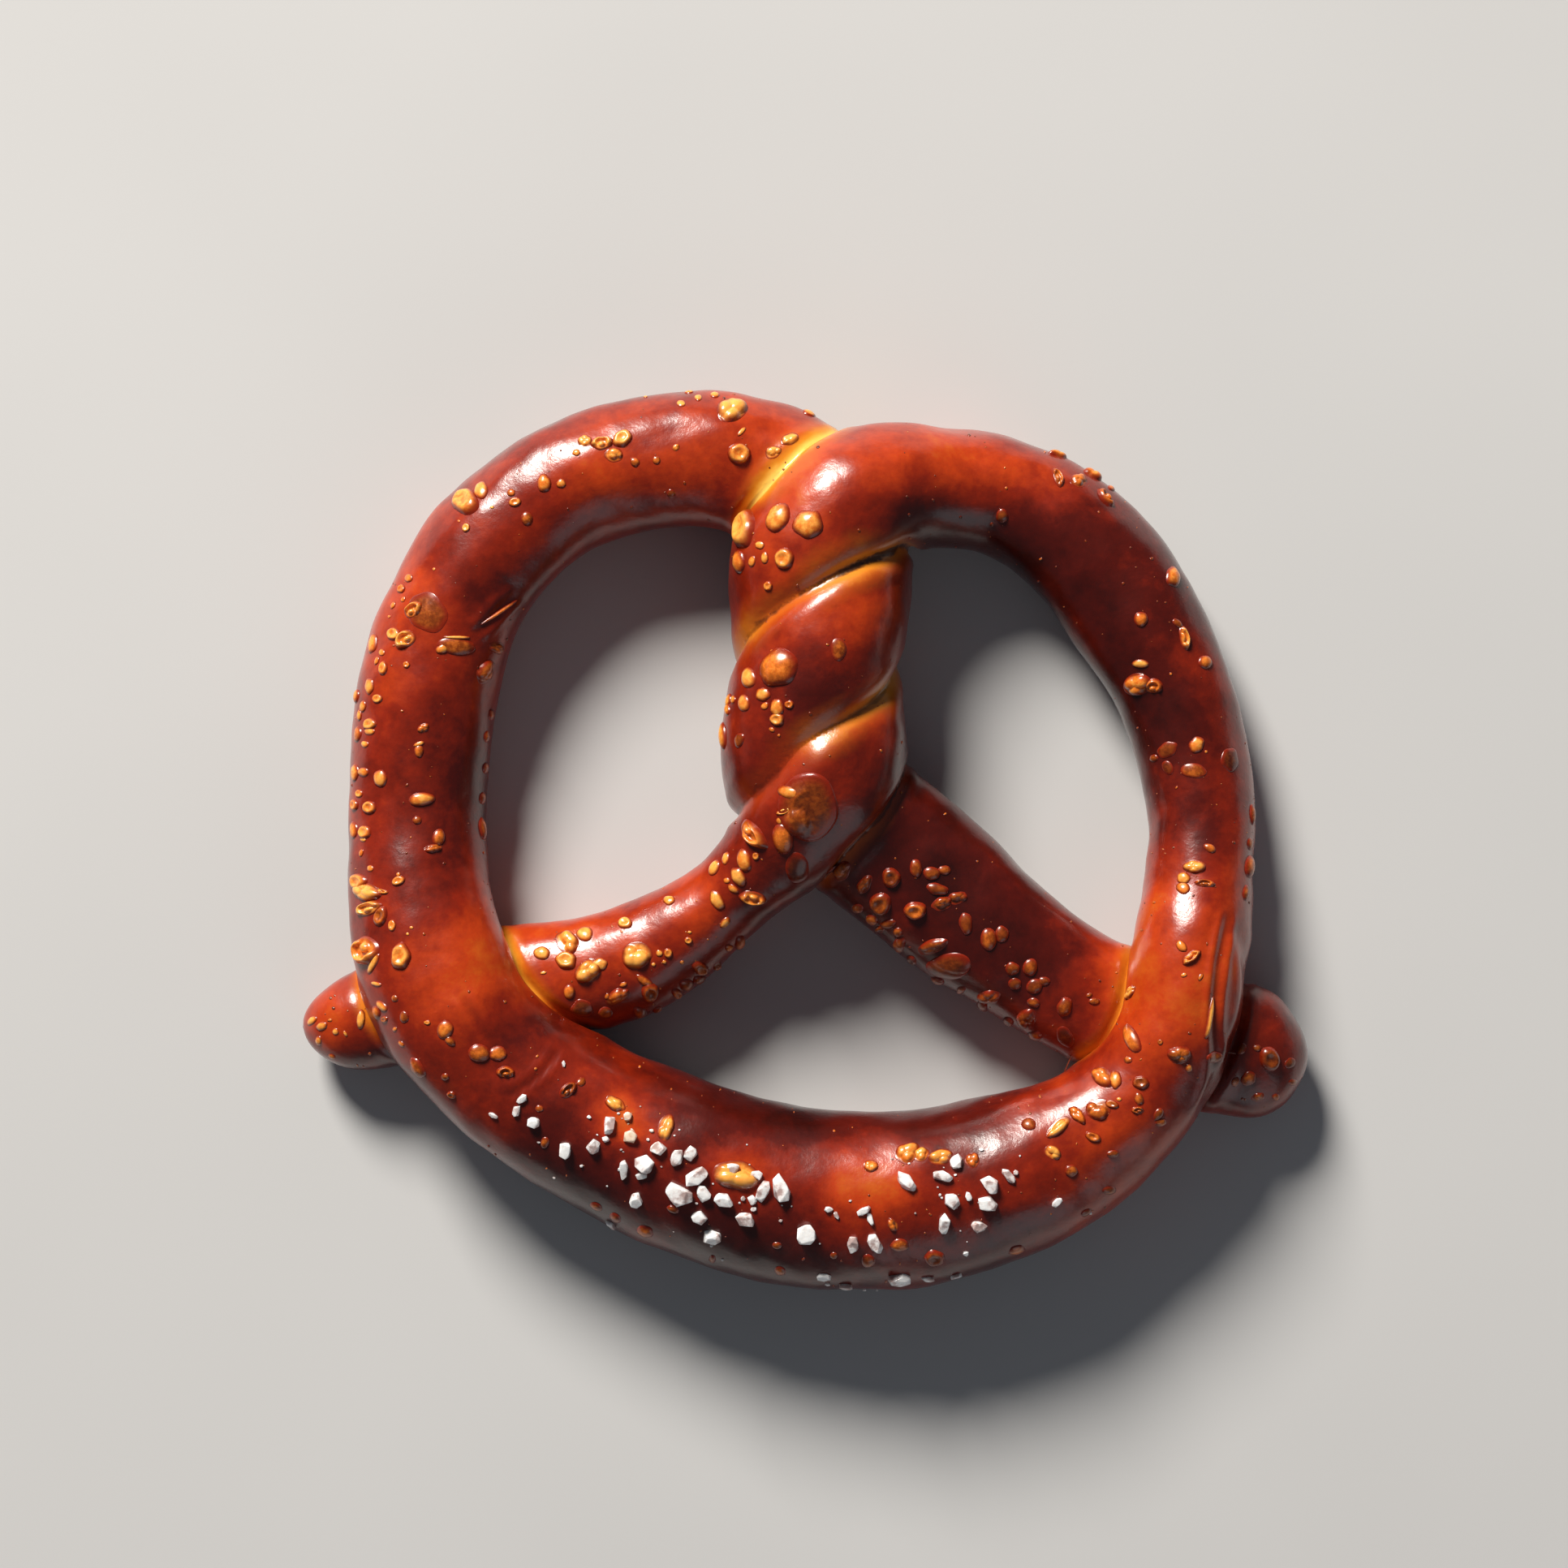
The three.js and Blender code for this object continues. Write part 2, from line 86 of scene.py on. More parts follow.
LEFT_LOOP = [
    [-40.3, -41.3, 12, 12.6, 11.2],
    [-49, -35, 13.8, 12, 9.8],
    [-55.7, -27.1, 14.8, 12, 9.4],
    [-59.5, -17.7, 13.4, 12.1, 9.6],
    [-61.4, -7.7, 10.6, 11.2, 9.9],
    [-61.7, 3.2, 8.7, 10.8, 10],
    [-61, 16.8, 8.7, 11.1, 10],
    [-57.9, 31.6, 8.7, 11.1, 10],
    [-50.6, 45.5, 8.7, 10.9, 10],
    [-39, 55.4, 8.7, 10.6, 10],
    [-26.1, 60, 8.7, 10.6, 10],
    [-14.5, 60.5, 8.5, 10.9, 9.8],
    [-4.1, 57.4, 8.5, 11.4, 9.7],
]
RIGHT_ARM = [
    [6.2, 4.5, 9.6, 12.1, 10.2],
    [13.9, -1.9, 8.6, 12, 9.5],
    [22.2, -8.8, 8.2, 11.9, 9.2],
    [31.9, -16.4, 7.7, 11, 8.6],
    [40.1, -22.2, 7.2, 10.2, 7.9],
    [48.8, -27, 6.7, 10.3, 7.4],
    [59.1, -31.1, 6.5, 10.6, 7.2],
    [68.1, -33.4, 6.8, 10.5, 7.6],
    [75, -34.6, 6.8, 10.2, 7.6],
    [80.2, -35.2, 6.8, 9.6, 7.3],
]

# The twist, where the two arms wind round each other along a leaning axis, in mm.
TWIST_X, TWIST_LEAN, TWIST_HEIGHT, TWIST_OFFSET = 0.8, 0.04, 13.2, 2.4
HALF_TURN, CROSSING = 24.5, 40.4
STRAND_WIDTH, STRAND_THICKNESS = 12.2, 11.6
# Each strand of the twist: its y from and to, its rows, and its turn.
TWIST_UP = (12.0, 44.4, 5, math.pi)
TWIST_DOWN = (48.2, 10.0, 6, 0.0)
LEFT_TIP, RIGHT_TIP = 10.5, 9.0  # lengths over which the ends round off
BASE_BLEND = 0.8  # how softly the sides turn into the flat base
CURVE_PARTS = 30  # fine rows between two rows of the rope
HEADING_STEP = 0.5  # how far apart the rope's direction is read

# The forms that blisters take.
DOME, RING, CURL, FLAT, LOBE, DISC = range(6)

# Blisters: x, y, half length and half width in tenths of a millimetre, turn in degrees, how pale
# from 0 to 10, and the form where it isn't a dome. The paleness carries painted shade too:
# blisters on the shaded right arm are given darker.
BLISTERS = [
    (-539, 537, 22, 22, 0, 8, RING), (-513, 554, 15, 12, 90, 9), (-412, 563, 15, 12, 90, 7),
    (-385, 562, 8, 8, 90, 7), (-464, 548, 7, 7, 0, 5), (-458, 533, 11, 8, 10, 7, RING),
    (-494, 525, 4, 3, 0, 9), (-535, 493, 8, 7, 60, 9, RING), (-439, 507, 11, 10, 90, 4),
    (-289, 634, 17, 14, 30, 9, RING), (-321, 626, 18, 11, 5, 9, CURL), (-348, 630, 12, 10, 0, 9, LOBE),
    (-361, 611, 7, 6, 0, 8), (-302, 607, 15, 12, 0, 8, LOBE), (-269, 596, 8, 8, 0, 5),
    (-235, 599, 7, 7, 0, 5), (-204, 619, 7, 6, 30, 7, LOBE), (-212, 547, 7, 7, 0, 3),
    (-117, 682, 25, 21, 10, 10, LOBE), (-144, 706, 8, 6, 0, 9), (-170, 701, 7, 6, 0, 9),
    (-188, 713, 8, 4, 0, 9), (-197, 691, 8, 6, 0, 9), (-254, 704, 4, 3, 0, 9),
    (-105, 610, 19, 18, 0, 8, RING), (-101, 645, 10, 4, 50, 9), (-51, 612, 14, 10, 30, 10, LOBE),
    (-25, 634, 15, 10, 30, 10, LOBE), (6, 679, 12, 7, -20, 9), (-44, 506, 26, 18, 65, 8),
    (3, 495, 25, 23, 40, 8), (-97, 491, 33, 17, 82, 9, RING), (-72, 463, 8, 7, 0, 8),
    (-34, 441, 17, 17, 0, 8, RING), (-64, 443, 11, 6, 90, 8), (-84, 438, 10, 6, 75, 8),
    (-106, 439, 19, 10, 95, 7), (-59, 399, 8, 8, 0, 7, RING), (51, 299, 19, 12, 95, 5, FLAT),
    (-44, 271, 32, 29, 70, 6), (-90, 256, 17, 12, 90, 9), (-67, 229, 12, 11, 0, 8),
    (-97, 216, 14, 10, 95, 8), (-126, 230, 12, 6, 85, 9), (-114, 222, 7, 5, 90, 8),
    (-123, 207, 11, 6, 100, 8), (-132, 175, 23, 7, 95, 9), (-45, 208, 15, 11, 90, 8),
    (-45, 190, 12, 11, 0, 8, RING), (-64, 211, 7, 6, 40, 7), (-26, 213, 8, 7, 0, 6, RING),
    (-53, 174, 6, 4, -30, 6), (-42, 165, 3, 3, 0, 6), (-104, 158, 12, 8, 80, 3),
    (3, 51, 53, 50, 90, 3, DISC), (-25, 75, 23, 11, -18, 7), (-34, 47, 14, 6, 18, 8, CURL),
    (-39, 32, 8, 7, 0, 8), (-16, 22, 18, 6, -28, 5), (-36, 3, 25, 17, 95, 6),
    (-83, 10, 29, 14, -52, 7, CURL), (-126, -28, 11, 6, 75, 8), (-97, -31, 19, 12, -75, 8),
    (-78, -24, 7, 6, 90, 7, RING), (-144, -43, 14, 8, 65, 9), (-106, -57, 17, 11, -55, 9),
    (-124, -63, 6, 5, 0, 7), (-83, -91, 23, 11, -10, 8, CURL), (-114, -76, 11, 6, -35, 8),
    (-140, -94, 19, 10, -60, 9), (-13, -44, 25, 19, 90, 1, FLAT), (-127, -130, 11, 7, 50, 8),
    (-121, -171, 7, 6, 0, 6), (-216, -95, 10, 8, 0, 9), (-286, -131, 12, 10, 0, 9, RING),
    (-350, -149, 14, 12, 0, 9), (-378, -161, 21, 17, -40, 9, LOBE), (-379, -190, 18, 15, 0, 9, RING),
    (-418, -179, 14, 11, 0, 9), (-267, -182, 25, 23, 0, 10, LOBE), (-344, -207, 23, 19, 30, 9, LOBE),
    (-326, -196, 14, 11, 20, 9), (-415, -210, 6, 3, 10, 9), (-185, -158, 7, 6, 0, 8, RING),
    (-183, -145, 4, 3, 0, 8), (-231, -178, 6, 6, 0, 8), (-217, -178, 8, 8, 0, 8, RING),
    (-240, -196, 4, 4, 0, 8), (-223, -192, 4, 4, 0, 7), (-195, -193, 4, 4, 0, 7),
    (-374, -240, 12, 10, 90, 7), (-354, -267, 18, 15, 0, 2, FLAT), (-298, -248, 21, 12, 30, 6, LOBE),
    (-288, -228, 7, 4, 20, 8), (-314, -247, 6, 4, 60, 7), (-246, -241, 17, 14, 90, 4, RING),
    (-254, -223, 17, 7, -35, 5), (-188, -231, 12, 11, 0, 3), (-166, -204, 15, 10, -30, 4, RING),
    (-317, -274, 12, 10, 0, 3), (-263, -275, 12, 10, -30, 3), (-232, -270, 10, 6, 30, 4),
    (57, -49, 18, 12, 60, 5, LOBE), (93, -70, 17, 10, 60, 3, LOBE), (135, -59, 17, 15, 90, 2, RING),
    (174, -44, 15, 10, 95, 3), (199, -52, 14, 11, 0, 3), (219, -47, 11, 8, 0, 3),
    (208, -77, 18, 10, -10, 2), (215, -100, 17, 11, 20, 3, LOBE), (239, -91, 17, 10, 15, 3, LOBE),
    (118, -101, 19, 18, 0, 3, RING), (105, -127, 11, 8, -20, 6), (82, -109, 10, 8, 0, 4),
    (173, -111, 19, 15, 0, 5, RING), (146, -146, 8, 8, 0, 4), (130, -133, 14, 7, 15, 3),
    (253, -131, 18, 11, 95, 2), (289, -156, 18, 14, 95, 4), (310, -148, 14, 11, 90, 2),
    (200, -169, 25, 12, 20, 3, LOBE), (225, -202, 37, 21, 5, 3, FLAT), (290, -250, 19, 11, 0, 3, LOBE),
    (327, -203, 12, 11, 0, 3), (355, -201, 15, 12, 80, 3), (331, -227, 11, 10, 0, 3),
    (362, -231, 14, 12, 30, 2), (377, -223, 10, 8, 0, 2), (361, -257, 11, 8, -20, 3),
    (350, -285, 18, 15, 70, 2, LOBE), (410, -264, 17, 12, 80, 3), (449, -245, 6, 4, 30, 4),
    (457, -255, 10, 6, 0, 4), (412, -313, 19, 12, -60, 1, FLAT), (407, 618, 18, 7, -15, 7, LOBE),
    (465, 589, 18, 10, -30, 7, LOBE), (433, 570, 14, 12, 0, 5, LOBE), (399, 574, 17, 8, -70, 5, CURL),
    (476, 543, 19, 8, -50, 5, CURL), (487, 560, 8, 7, 0, 5), (583, 418, 17, 12, 95, 7),
    (529, 349, 12, 12, 0, 6), (588, 343, 10, 6, -40, 3), (599, 320, 21, 8, -80, 8, CURL),
    (633, 282, 12, 11, 0, 6), (529, 279, 14, 7, 0, 10), (524, 246, 22, 18, 5, 7, LOBE),
    (550, 244, 15, 12, 0, 7, CURL), (310, 512, 11, 10, 90, 2), (618, 151, 14, 12, 60, 8),
    (633, 140, 3, 3, 0, 7), (572, 143, 17, 12, 35, 3, FLAT), (552, 130, 7, 6, 0, 3),
    (573, 115, 12, 8, -60, 2, FLAT), (613, 110, 21, 12, -5, 5, FLAT), (673, 128, 19, 15, 90, 2, FLAT),
    (637, -12, 11, 7, -30, 5), (612, -41, 19, 11, 0, 9, LOBE), (595, -59, 11, 10, 0, 9),
    (594, -75, 11, 10, 0, 7), (628, -67, 18, 6, -5, 5, CURL), (589, -165, 11, 8, -50, 8),
    (604, -182, 18, 8, 35, 8, CURL), (592, -210, 6, 4, 20, 8), (618, -213, 7, 4, 60, 5),
    (511, -310, 25, 11, -70, 6), (506, -344, 7, 6, 0, 4), (555, -315, 5, 5, 0, 5, RING),
    (585, -335, 19, 15, 0, 4, LOBE), (600, -356, 7, 6, 90, 7), (512, -240, 14, 6, 60, 9, LOBE),
    (466, -371, 18, 15, -30, 6, LOBE), (486, -375, 15, 10, 90, 7), (525, -379, 14, 11, 0, 3, RING),
    (522, -404, 11, 8, -80, 4), (520, -422, 11, 6, 0, 4, CURL), (491, -405, 5, 4, 0, 7),
    (459, -421, 21, 17, 0, 5, LOBE), (480, -413, 12, 7, -20, 4, RING), (553, -429, 12, 7, 60, 3),
    (557, -442, 10, 7, 0, 4), (640, -340, 14, 10, 0, 3), (702, -378, 14, 11, 40, 4),
    (715, -329, 7, 6, 0, 3), (736, -347, 21, 17, -60, 2, RING), (770, -354, 10, 8, 30, 3, FLAT),
    (719, -409, 11, 8, 10, 4, LOBE), (450, -464, 14, 8, -20, 5, RING), (426, -430, 17, 10, -50, 6, LOBE),
    (396, -449, 25, 10, 40, 9, LOBE), (387, -488, 15, 11, -30, 9, LOBE), (416, -517, 11, 10, 0, 4),
    (350, -445, 12, 10, 0, 3), (482, -491, 11, 6, 0, 3), (478, -551, 12, 8, 0, 3),
    (442, -586, 10, 6, 30, 2), (333, -645, 14, 8, 10, 5), (202, -655, 17, 14, 0, 3, RING),
    (98, -659, 12, 11, -60, 3), (147, -633, 15, 11, 0, 5), (136, -600, 12, 8, -60, 6, LOBE),
    (160, -489, 22, 15, 20, 8, LOBE), (181, -491, 13, 11, 30, 9, LOBE), (261, -500, 12, 12, 0, 5, LOBE),
    (211, -495, 21, 12, 10, 9, LOBE), (44, -650, 6, 6, 0, 3), (-45, -634, 8, 6, 0, 3),
    (-40, -677, 10, 8, -30, 4), (-147, -660, 8, 6, 80, 3), (-108, -523, 40, 23, -10, 10, LOBE),
    (-299, -412, 18, 11, -30, 9, LOBE), (-219, -449, 22, 13, 70, 9, LOBE), (-330, -577, 11, 7, -30, 4),
    (-300, -595, 11, 8, -40, 3), (-253, -616, 14, 10, -20, 5), (-208, -577, 11, 6, -20, 2),
    (-511, -332, 18, 15, 0, 5), (-482, -333, 15, 12, 0, 5), (-470, -362, 15, 10, 0, 5, CURL),
    (-564, -295, 15, 14, 60, 6), (-556, -313, 10, 7, -40, 4), (-629, -276, 10, 8, 90, 3),
    (-644, -247, 6, 6, 60, 4), (-666, -260, 12, 7, -40, 8), (-676, -271, 12, 7, -80, 6),
    (-662, -281, 6, 6, 0, 4, RING), (-675, -225, 10, 4, -10, 8), (-645, -296, 5, 4, 45, 7),
    (-592, -284, 6, 4, 0, 8, RING), (-705, -284, 17, 7, 85, 9), (-635, -319, 7, 4, -40, 6),
    (-610, -357, 19, 10, -60, 4), (-565, -370, 7, 6, 0, 4), (-556, -399, 8, 6, -20, 4, RING),
    (-372, -390, 17, 10, 40, 3, CURL), (-352, -378, 8, 7, 60, 3), (-417, -419, 7, 6, 0, 4),
    (-409, -473, 10, 7, 70, 4), (-423, -357, 3, 3, 0, 7), (-635, -181, 22, 17, 85, 8, RING),
    (-694, -174, 25, 21, 90, 8, CURL), (-680, -194, 19, 6, 60, 9), (-649, -133, 10, 7, 90, 8, RING),
    (-618, -136, 4, 3, 0, 8), (-624, -146, 3, 3, 0, 8), (-690, -107, 25, 11, 20, 9, CURL),
    (-668, -119, 17, 11, 70, 4, RING), (-708, -65, 15, 14, 0, 8, RING), (-695, -81, 25, 15, -10, 9, LOBE),
    (-666, -80, 11, 4, -10, 8, CURL), (-686, -44, 6, 6, 0, 7), (-640, -63, 12, 8, 20, 8, RING),
    (-640, -53, 4, 4, 0, 7), (-697, 13, 12, 11, 0, 8, RING), (-699, 1, 6, 4, 0, 8),
    (-716, 16, 15, 7, 90, 7), (-702, -20, 7, 4, 70, 7), (-612, 32, 8, 7, 0, 3), (-578, 5, 14, 10, 80, 5),
    (-586, -12, 15, 7, 10, 4, LOBE), (-671, 98, 14, 12, 90, 8), (-715, 107, 15, 8, 85, 8),
    (-700, 108, 10, 8, 0, 7), (-707, 74, 7, 7, 0, 8, RING), (-689, 52, 12, 11, 0, 8, RING),
    (-715, 56, 10, 7, 90, 7, RING), (-605, 65, 22, 11, 5, 8), (-609, 141, 11, 8, 90, 5),
    (-609, 152, 10, 4, 20, 8), (-602, 177, 11, 7, 30, 6, LOBE), (-689, 184, 12, 10, 0, 8, RING),
    (-689, 172, 10, 6, 0, 8), (-710, 168, 14, 7, 85, 6), (-697, 152, 7, 6, 0, 8), (-707, 198, 10, 4, 85, 8),
    (-701, 212, 10, 6, 80, 8), (-676, 224, 9, 8, 0, 8, RING), (-690, 244, 14, 8, 90, 8),
    (-716, 227, 12, 6, 85, 8), (-667, 272, 12, 8, 85, 8, RING), (-678, 284, 8, 4, 70, 7),
    (-670, 297, 6, 6, 30, 7), (-629, 277, 6, 6, 0, 6, RING), (-686, 312, 17, 8, 80, 8),
    (-651, 326, 12, 11, 0, 8, RING), (-632, 317, 19, 14, 40, 9, CURL), (-597, 360, 36, 30, -45, 4, FLAT),
    (-618, 364, 18, 12, 30, 8, CURL), (-549, 320, 23, 3, 0, 10), (-550, 306, 30, 14, -5, 5, FLAT),
    (-572, 302, 12, 8, 20, 8), (-628, 415, 8, 7, 50, 7), (-640, 398, 8, 7, 60, 6, RING),
    (-636, 381, 6, 4, 60, 6), (-653, 372, 7, 4, 60, 7), (-659, 354, 3, 3, 0, 7), (-586, 428, 3, 3, 0, 7),
    (-505, 266, 21, 12, 60, 5, LOBE), (-487, 304, 12, 10, 0, 4, LOBE), (-509, 17, 19, 6, 90, 4),
    (-508, 65, 11, 6, 95, 4), (-509, 114, 10, 6, 90, 4), (-506, 164, 10, 6, 85, 4),
    (-496, 200, 10, 6, 85, 4), (704, -42, 19, 11, 85, 5), (710, 41, 17, 6, 90, 4), (705, -6, 11, 6, 90, 4),
    (696, -83, 14, 6, 85, 4), (-769, -296, 11, 7, 20, 8), (-775, -320, 8, 6, 90, 8),
    (-746, -304, 6, 6, 0, 8), (-730, -307, 6, 3, -60, 8), (-755, -286, 4, 3, 0, 6),
    (-786, -288, 11, 6, 40, 9), (-754, -345, 7, 4, -20, 6), (633, -277, 36, 5, 79, 10),
    (503, -245, 18, 5, 70, 10), (-484, 360, 38, 3, 36, 5), (102, -509, 12, 10, 0, 8, LOBE),
    (681, -383, 9, 7, 70, 4), (776, -386, 8, 6, 0, 4), (690, -330, 10, 7, 60, 3), (748, -409, 7, 6, 0, 5),
    (118, -142, 9, 7, 40, 3, LOBE), (148, -168, 14, 10, 90, 4), (169, -191, 10, 8, 130, 2, RING),
    (210, -224, 12, 9, 0, 3), (247, -239, 9, 7, 40, 4, LOBE), (282, -266, 14, 10, 90, 2),
    (324, -289, 10, 8, 130, 3, RING), (365, -312, 12, 9, 0, 4), (-204, -244, 10, 8, 130, 5, RING),
    (-168, -223, 12, 9, 0, 3), (-132, -208, 9, 7, 40, 4, LOBE), (-96, -172, 14, 10, 90, 5),
]
BLISTER_RISE = 0.44  # height of a blister as a share of its half size
BROAD_BLISTER, BROAD_RISE = 3.2, 0.16  # the half size above which it stays low, and that height

# Coarse salt: x, y, half length and half width in tenths of a millimetre, turn in degrees.
SALT = [
    (-308, -445, 17, 10, 80), (-313, -467, 6, 5, 0), (-332, -478, 13, 11, 80), (-279, -432, 8, 7, 60),
    (-275, -463, 13, 11, 60), (-230, -482, 13, 12, 0), (-285, -514, 17, 8, 85), (-253, -506, 19, 14, -30),
    (-257, -524, 10, 6, 0), (-202, -495, 16, 11, 75), (-180, -489, 13, 10, 55), (-171, -525, 22, 13, 35),
    (-199, -552, 23, 18, -35), (-160, -551, 14, 11, -60), (-265, -562, 13, 11, 60),
    (-167, -588, 14, 11, -10), (-146, -620, 16, 13, -20), (-129, -561, 17, 12, -15),
    (-307, -607, 11, 6, -55), (-94, -591, 18, 12, -20), (-67, -548, 19, 11, 70), (-39, -545, 24, 14, -80),
    (-84, -562, 10, 7, -50), (-98, -559, 4, 4, 0), (-81, -576, 5, 4, 0), (1, -616, 19, 16, 80),
    (36, -576, 7, 5, 0), (48, -585, 7, 4, -60), (74, -630, 14, 10, 80), (91, -578, 12, 7, 30),
    (101, -590, 12, 5, -75), (107, -627, 18, 12, -65), (217, -598, 16, 10, 85), (228, -562, 16, 12, -50),
    (271, -602, 13, 10, -10), (289, -539, 18, 13, -40), (285, -567, 17, 13, -20), (255, -556, 8, 5, -70),
    (156, -533, 22, 11, -50), (235, -504, 14, 11, 80), (213, -525, 18, 10, -10), (318, -525, 16, 7, -50),
    (394, -566, 10, 6, 40), (28, -685, 13, 7, 0), (62, -702, 12, 7, -10), (148, -688, 18, 13, -10),
    (193, -690, 11, 5, -10), (237, -686, 10, 5, 15), (-426, -441, 11, 10, 20), (-376, -485, 16, 11, 85),
    (-453, -423, 11, 6, 70), (-444, -404, 11, 6, 40), (-490, -430, 8, 4, -20), (-380, -350, 6, 3, 90),
    (-117, -515, 14, 11, 40), (-77, -523, 11, 8, -40),
]




# ---- the rope

def twist_rows(start, end, count, turn):
    """Rows of one strand of the twist, evenly spaced in y."""
    rows = []
    for i in range(count):
        y = start + (end - start) * i / (count - 1)
        angle = math.pi * (CROSSING - y) / HALF_TURN + turn
        x = TWIST_X + TWIST_LEAN * y + TWIST_OFFSET * math.cos(angle)
        z = TWIST_HEIGHT + TWIST_OFFSET * math.sin(angle)
        rows.append([x, y, z, STRAND_WIDTH, STRAND_THICKNESS])
    return rows


def curve_row(four, knots, u):
    """The row at a fraction u between the middle two of four, on a centripetal curve."""
    t = knots[1] + (knots[2] - knots[1]) * u
    rows = list(four)
    for low, high in (((0, 1, 2), (1, 2, 3)), ((0, 1), (2, 3)), ((1,), (2,))):
        share = [(knots[b] - t) / (knots[b] - knots[a]) for a, b in zip(low, high)]
        rows = [rows[i] * s + rows[i + 1] * (1 - s) for i, s in enumerate(share)]
    return rows[0]


def follow_rope(rows):
    """Fine rows along the rope, with the length so far and the reach round bends."""
    rows = np.array(rows, float)
    ends = np.vstack([2 * rows[0] - rows[1], rows, 2 * rows[-1] - rows[-2]])
    gaps = np.sqrt(np.hypot(*np.diff(ends[:, :2], axis=0).T))
    fine = [rows[0]]
    for i in range(len(rows) - 1):
        knots = np.concatenate([[0.0], np.cumsum(gaps[i:i + 3])])
        for j in range(1, CURVE_PARTS + 1):
            fine.append(curve_row(ends[i:i + 4], knots, j / CURVE_PARTS))
    fine = np.array(fine)
    steps = np.diff(fine[:, :3], axis=0)
    heading = np.arctan2(steps[:, 1], steps[:, 0])
    bend = np.concatenate([[0.0], np.abs(np.sin(np.diff(heading)))])
    distance = np.linalg.norm(steps, axis=1)
    length = np.concatenate([[0.0], np.cumsum(distance)])
    reach = np.concatenate([[0.0], np.cumsum(distance + fine[1:, 3] * bend)])
    return {"rows": fine, "length": length, "reach": reach, "total": length[-1]}


arms = [*LEFT_ARM, *twist_rows(*TWIST_UP), *RIGHT_LOOP]
path = follow_rope([*arms, *BELLY, *LEFT_LOOP, *twist_rows(*TWIST_DOWN), *RIGHT_ARM])
middle = path["length"][(len(arms) + len(BELLY) // 2) * CURVE_PARTS]


def rows_at(length):
    """The rope's rows at these lengths."""
    return np.stack([np.interp(length, path["length"], path["rows"][:, k]) for k in range(5)], axis=-1)


def unit(vectors):
    return vectors / np.maximum(np.linalg.norm(vectors, axis=-1, keepdims=True), 1e-9)


def tip_share(length):
    """The share of its full size that the rope has where it rounds off to a tip."""
    left = np.clip(1 - length / LEFT_TIP, 0, 1)
    right = np.clip(1 - (path["total"] - length) / RIGHT_TIP, 0, 1)
    return np.sqrt(1 - np.maximum(left, right) ** 2)


def ring_frames(length):
    """Centres, sideways and upward directions and half sizes of rings at these lengths."""
    rows = rows_at(length)
    ahead = rows_at(np.minimum(path["total"], length + HEADING_STEP))
    behind = rows_at(np.maximum(0.0, length - HEADING_STEP))
    along = unit((ahead - behind)[..., :3])
    side = unit(np.cross([0.0, 0.0, 1.0], along))
    up = np.cross(along, side)
    share = tip_share(length)
    return {"centre": rows[..., :3], "side": side, "up": up,
            "width": rows[..., 3] * share, "thickness": rows[..., 4] * share}


def above_base(points):
    """The rope is never lower than its base, and turns into it softly."""
    z = points[..., 2]
    soft = (z + BASE_BLEND) ** 2 / (4 * BASE_BLEND)
    points[..., 2] = np.where(z < -BASE_BLEND, 0.0, np.where(z < BASE_BLEND, soft, z))
    return points


# ---- the body of the crust

RING_POINTS = 104
RING_STEP = 0.78
TIP_RINGS = 14
TIP_ANGLE = 86  # degrees up to which a tip has rings, before it closes
TOP_SHARE = 0.42  # how much closer the points of a ring are on top than underneath
BELLY_CAP = 5.0  # how far past the belly the cone that closes a half reaches, inside the other
SEAM_REACH = 8.0  # distances from a seam are measured up to this
BELLY_CLEAR = (30.0, 26.0)  # round the belly, where the halves meet, there is no seam
UPPER_CRUST = (4.0, 8.0)  # creases show from the first height up, fully from the second


def half_lengths(start, end, tip):
    """Where the rings of one half are, from the belly out to its tip."""
    sign = 1 if end > start else -1
    reach = np.interp([start, end - sign * tip], path["length"], path["reach"])
    count = int(abs(reach[1] - reach[0]) / RING_STEP)
    even = np.interp(np.linspace(reach[0], reach[1], count), path["reach"], path["length"])
    angles = np.radians(np.linspace(0, TIP_ANGLE, TIP_RINGS + 1)[1:])
    return np.concatenate([even, end - sign * tip * (1 - np.sin(angles))])


def half_grid(length):
    """Points of one half as rings by ring points."""
    u = np.arange(RING_POINTS) / RING_POINTS
    angle = 2 * math.pi * u + TOP_SHARE * (np.cos(2 * math.pi * u) - 1)
    rings = ring_frames(length)
    across = rings["width"][:, None, None] * np.cos(angle)[None, :, None] * rings["side"][:, None]
    upward = rings["thickness"][:, None, None] * np.sin(angle)[None, :, None] * rings["up"][:, None]
    return above_base(rings["centre"][:, None] + across + upward)


def grid_normals(grid, outward):
    """Outward directions of a grid of rings, from its own slopes."""
    along = np.gradient(grid, axis=0)
    around = np.roll(grid, -1, axis=1) - np.roll(grid, 1, axis=1)
    return unit(np.cross(around, along)) * outward


def half_normals(grid, outward):
    """Outward directions of one half, whose first ring is the other half's first ring too."""
    normals = grid_normals(grid, outward)
    normals[0] = grid_normals(half_grid(middle + np.array([-0.5, 0.0, 0.5])), 1)[1]
    return normals


def grid_faces(rings, outward):
    """The sides of a half: quads between its rings, and a fan at each end."""
    ring = np.arange(RING_POINTS)
    ahead = (ring + 1) % RING_POINTS
    first = np.arange(rings - 1)[:, None] * RING_POINTS
    quads = np.stack([first + ring, first + ahead, first + RING_POINTS + ahead,
                      first + RING_POINTS + ring], axis=-1).reshape(-1, 4)
    belly, tip = rings * RING_POINTS, rings * RING_POINTS + 1
    last = (rings - 1) * RING_POINTS
    fans = [(belly, b, a) for a, b in zip(ring, ahead)]
    fans += [(last + a, last + b, tip) for a, b in zip(ring, ahead)]
    faces = [tuple(q) for q in quads] + fans
    return faces if outward > 0 else [tuple(reversed(f)) for f in faces]


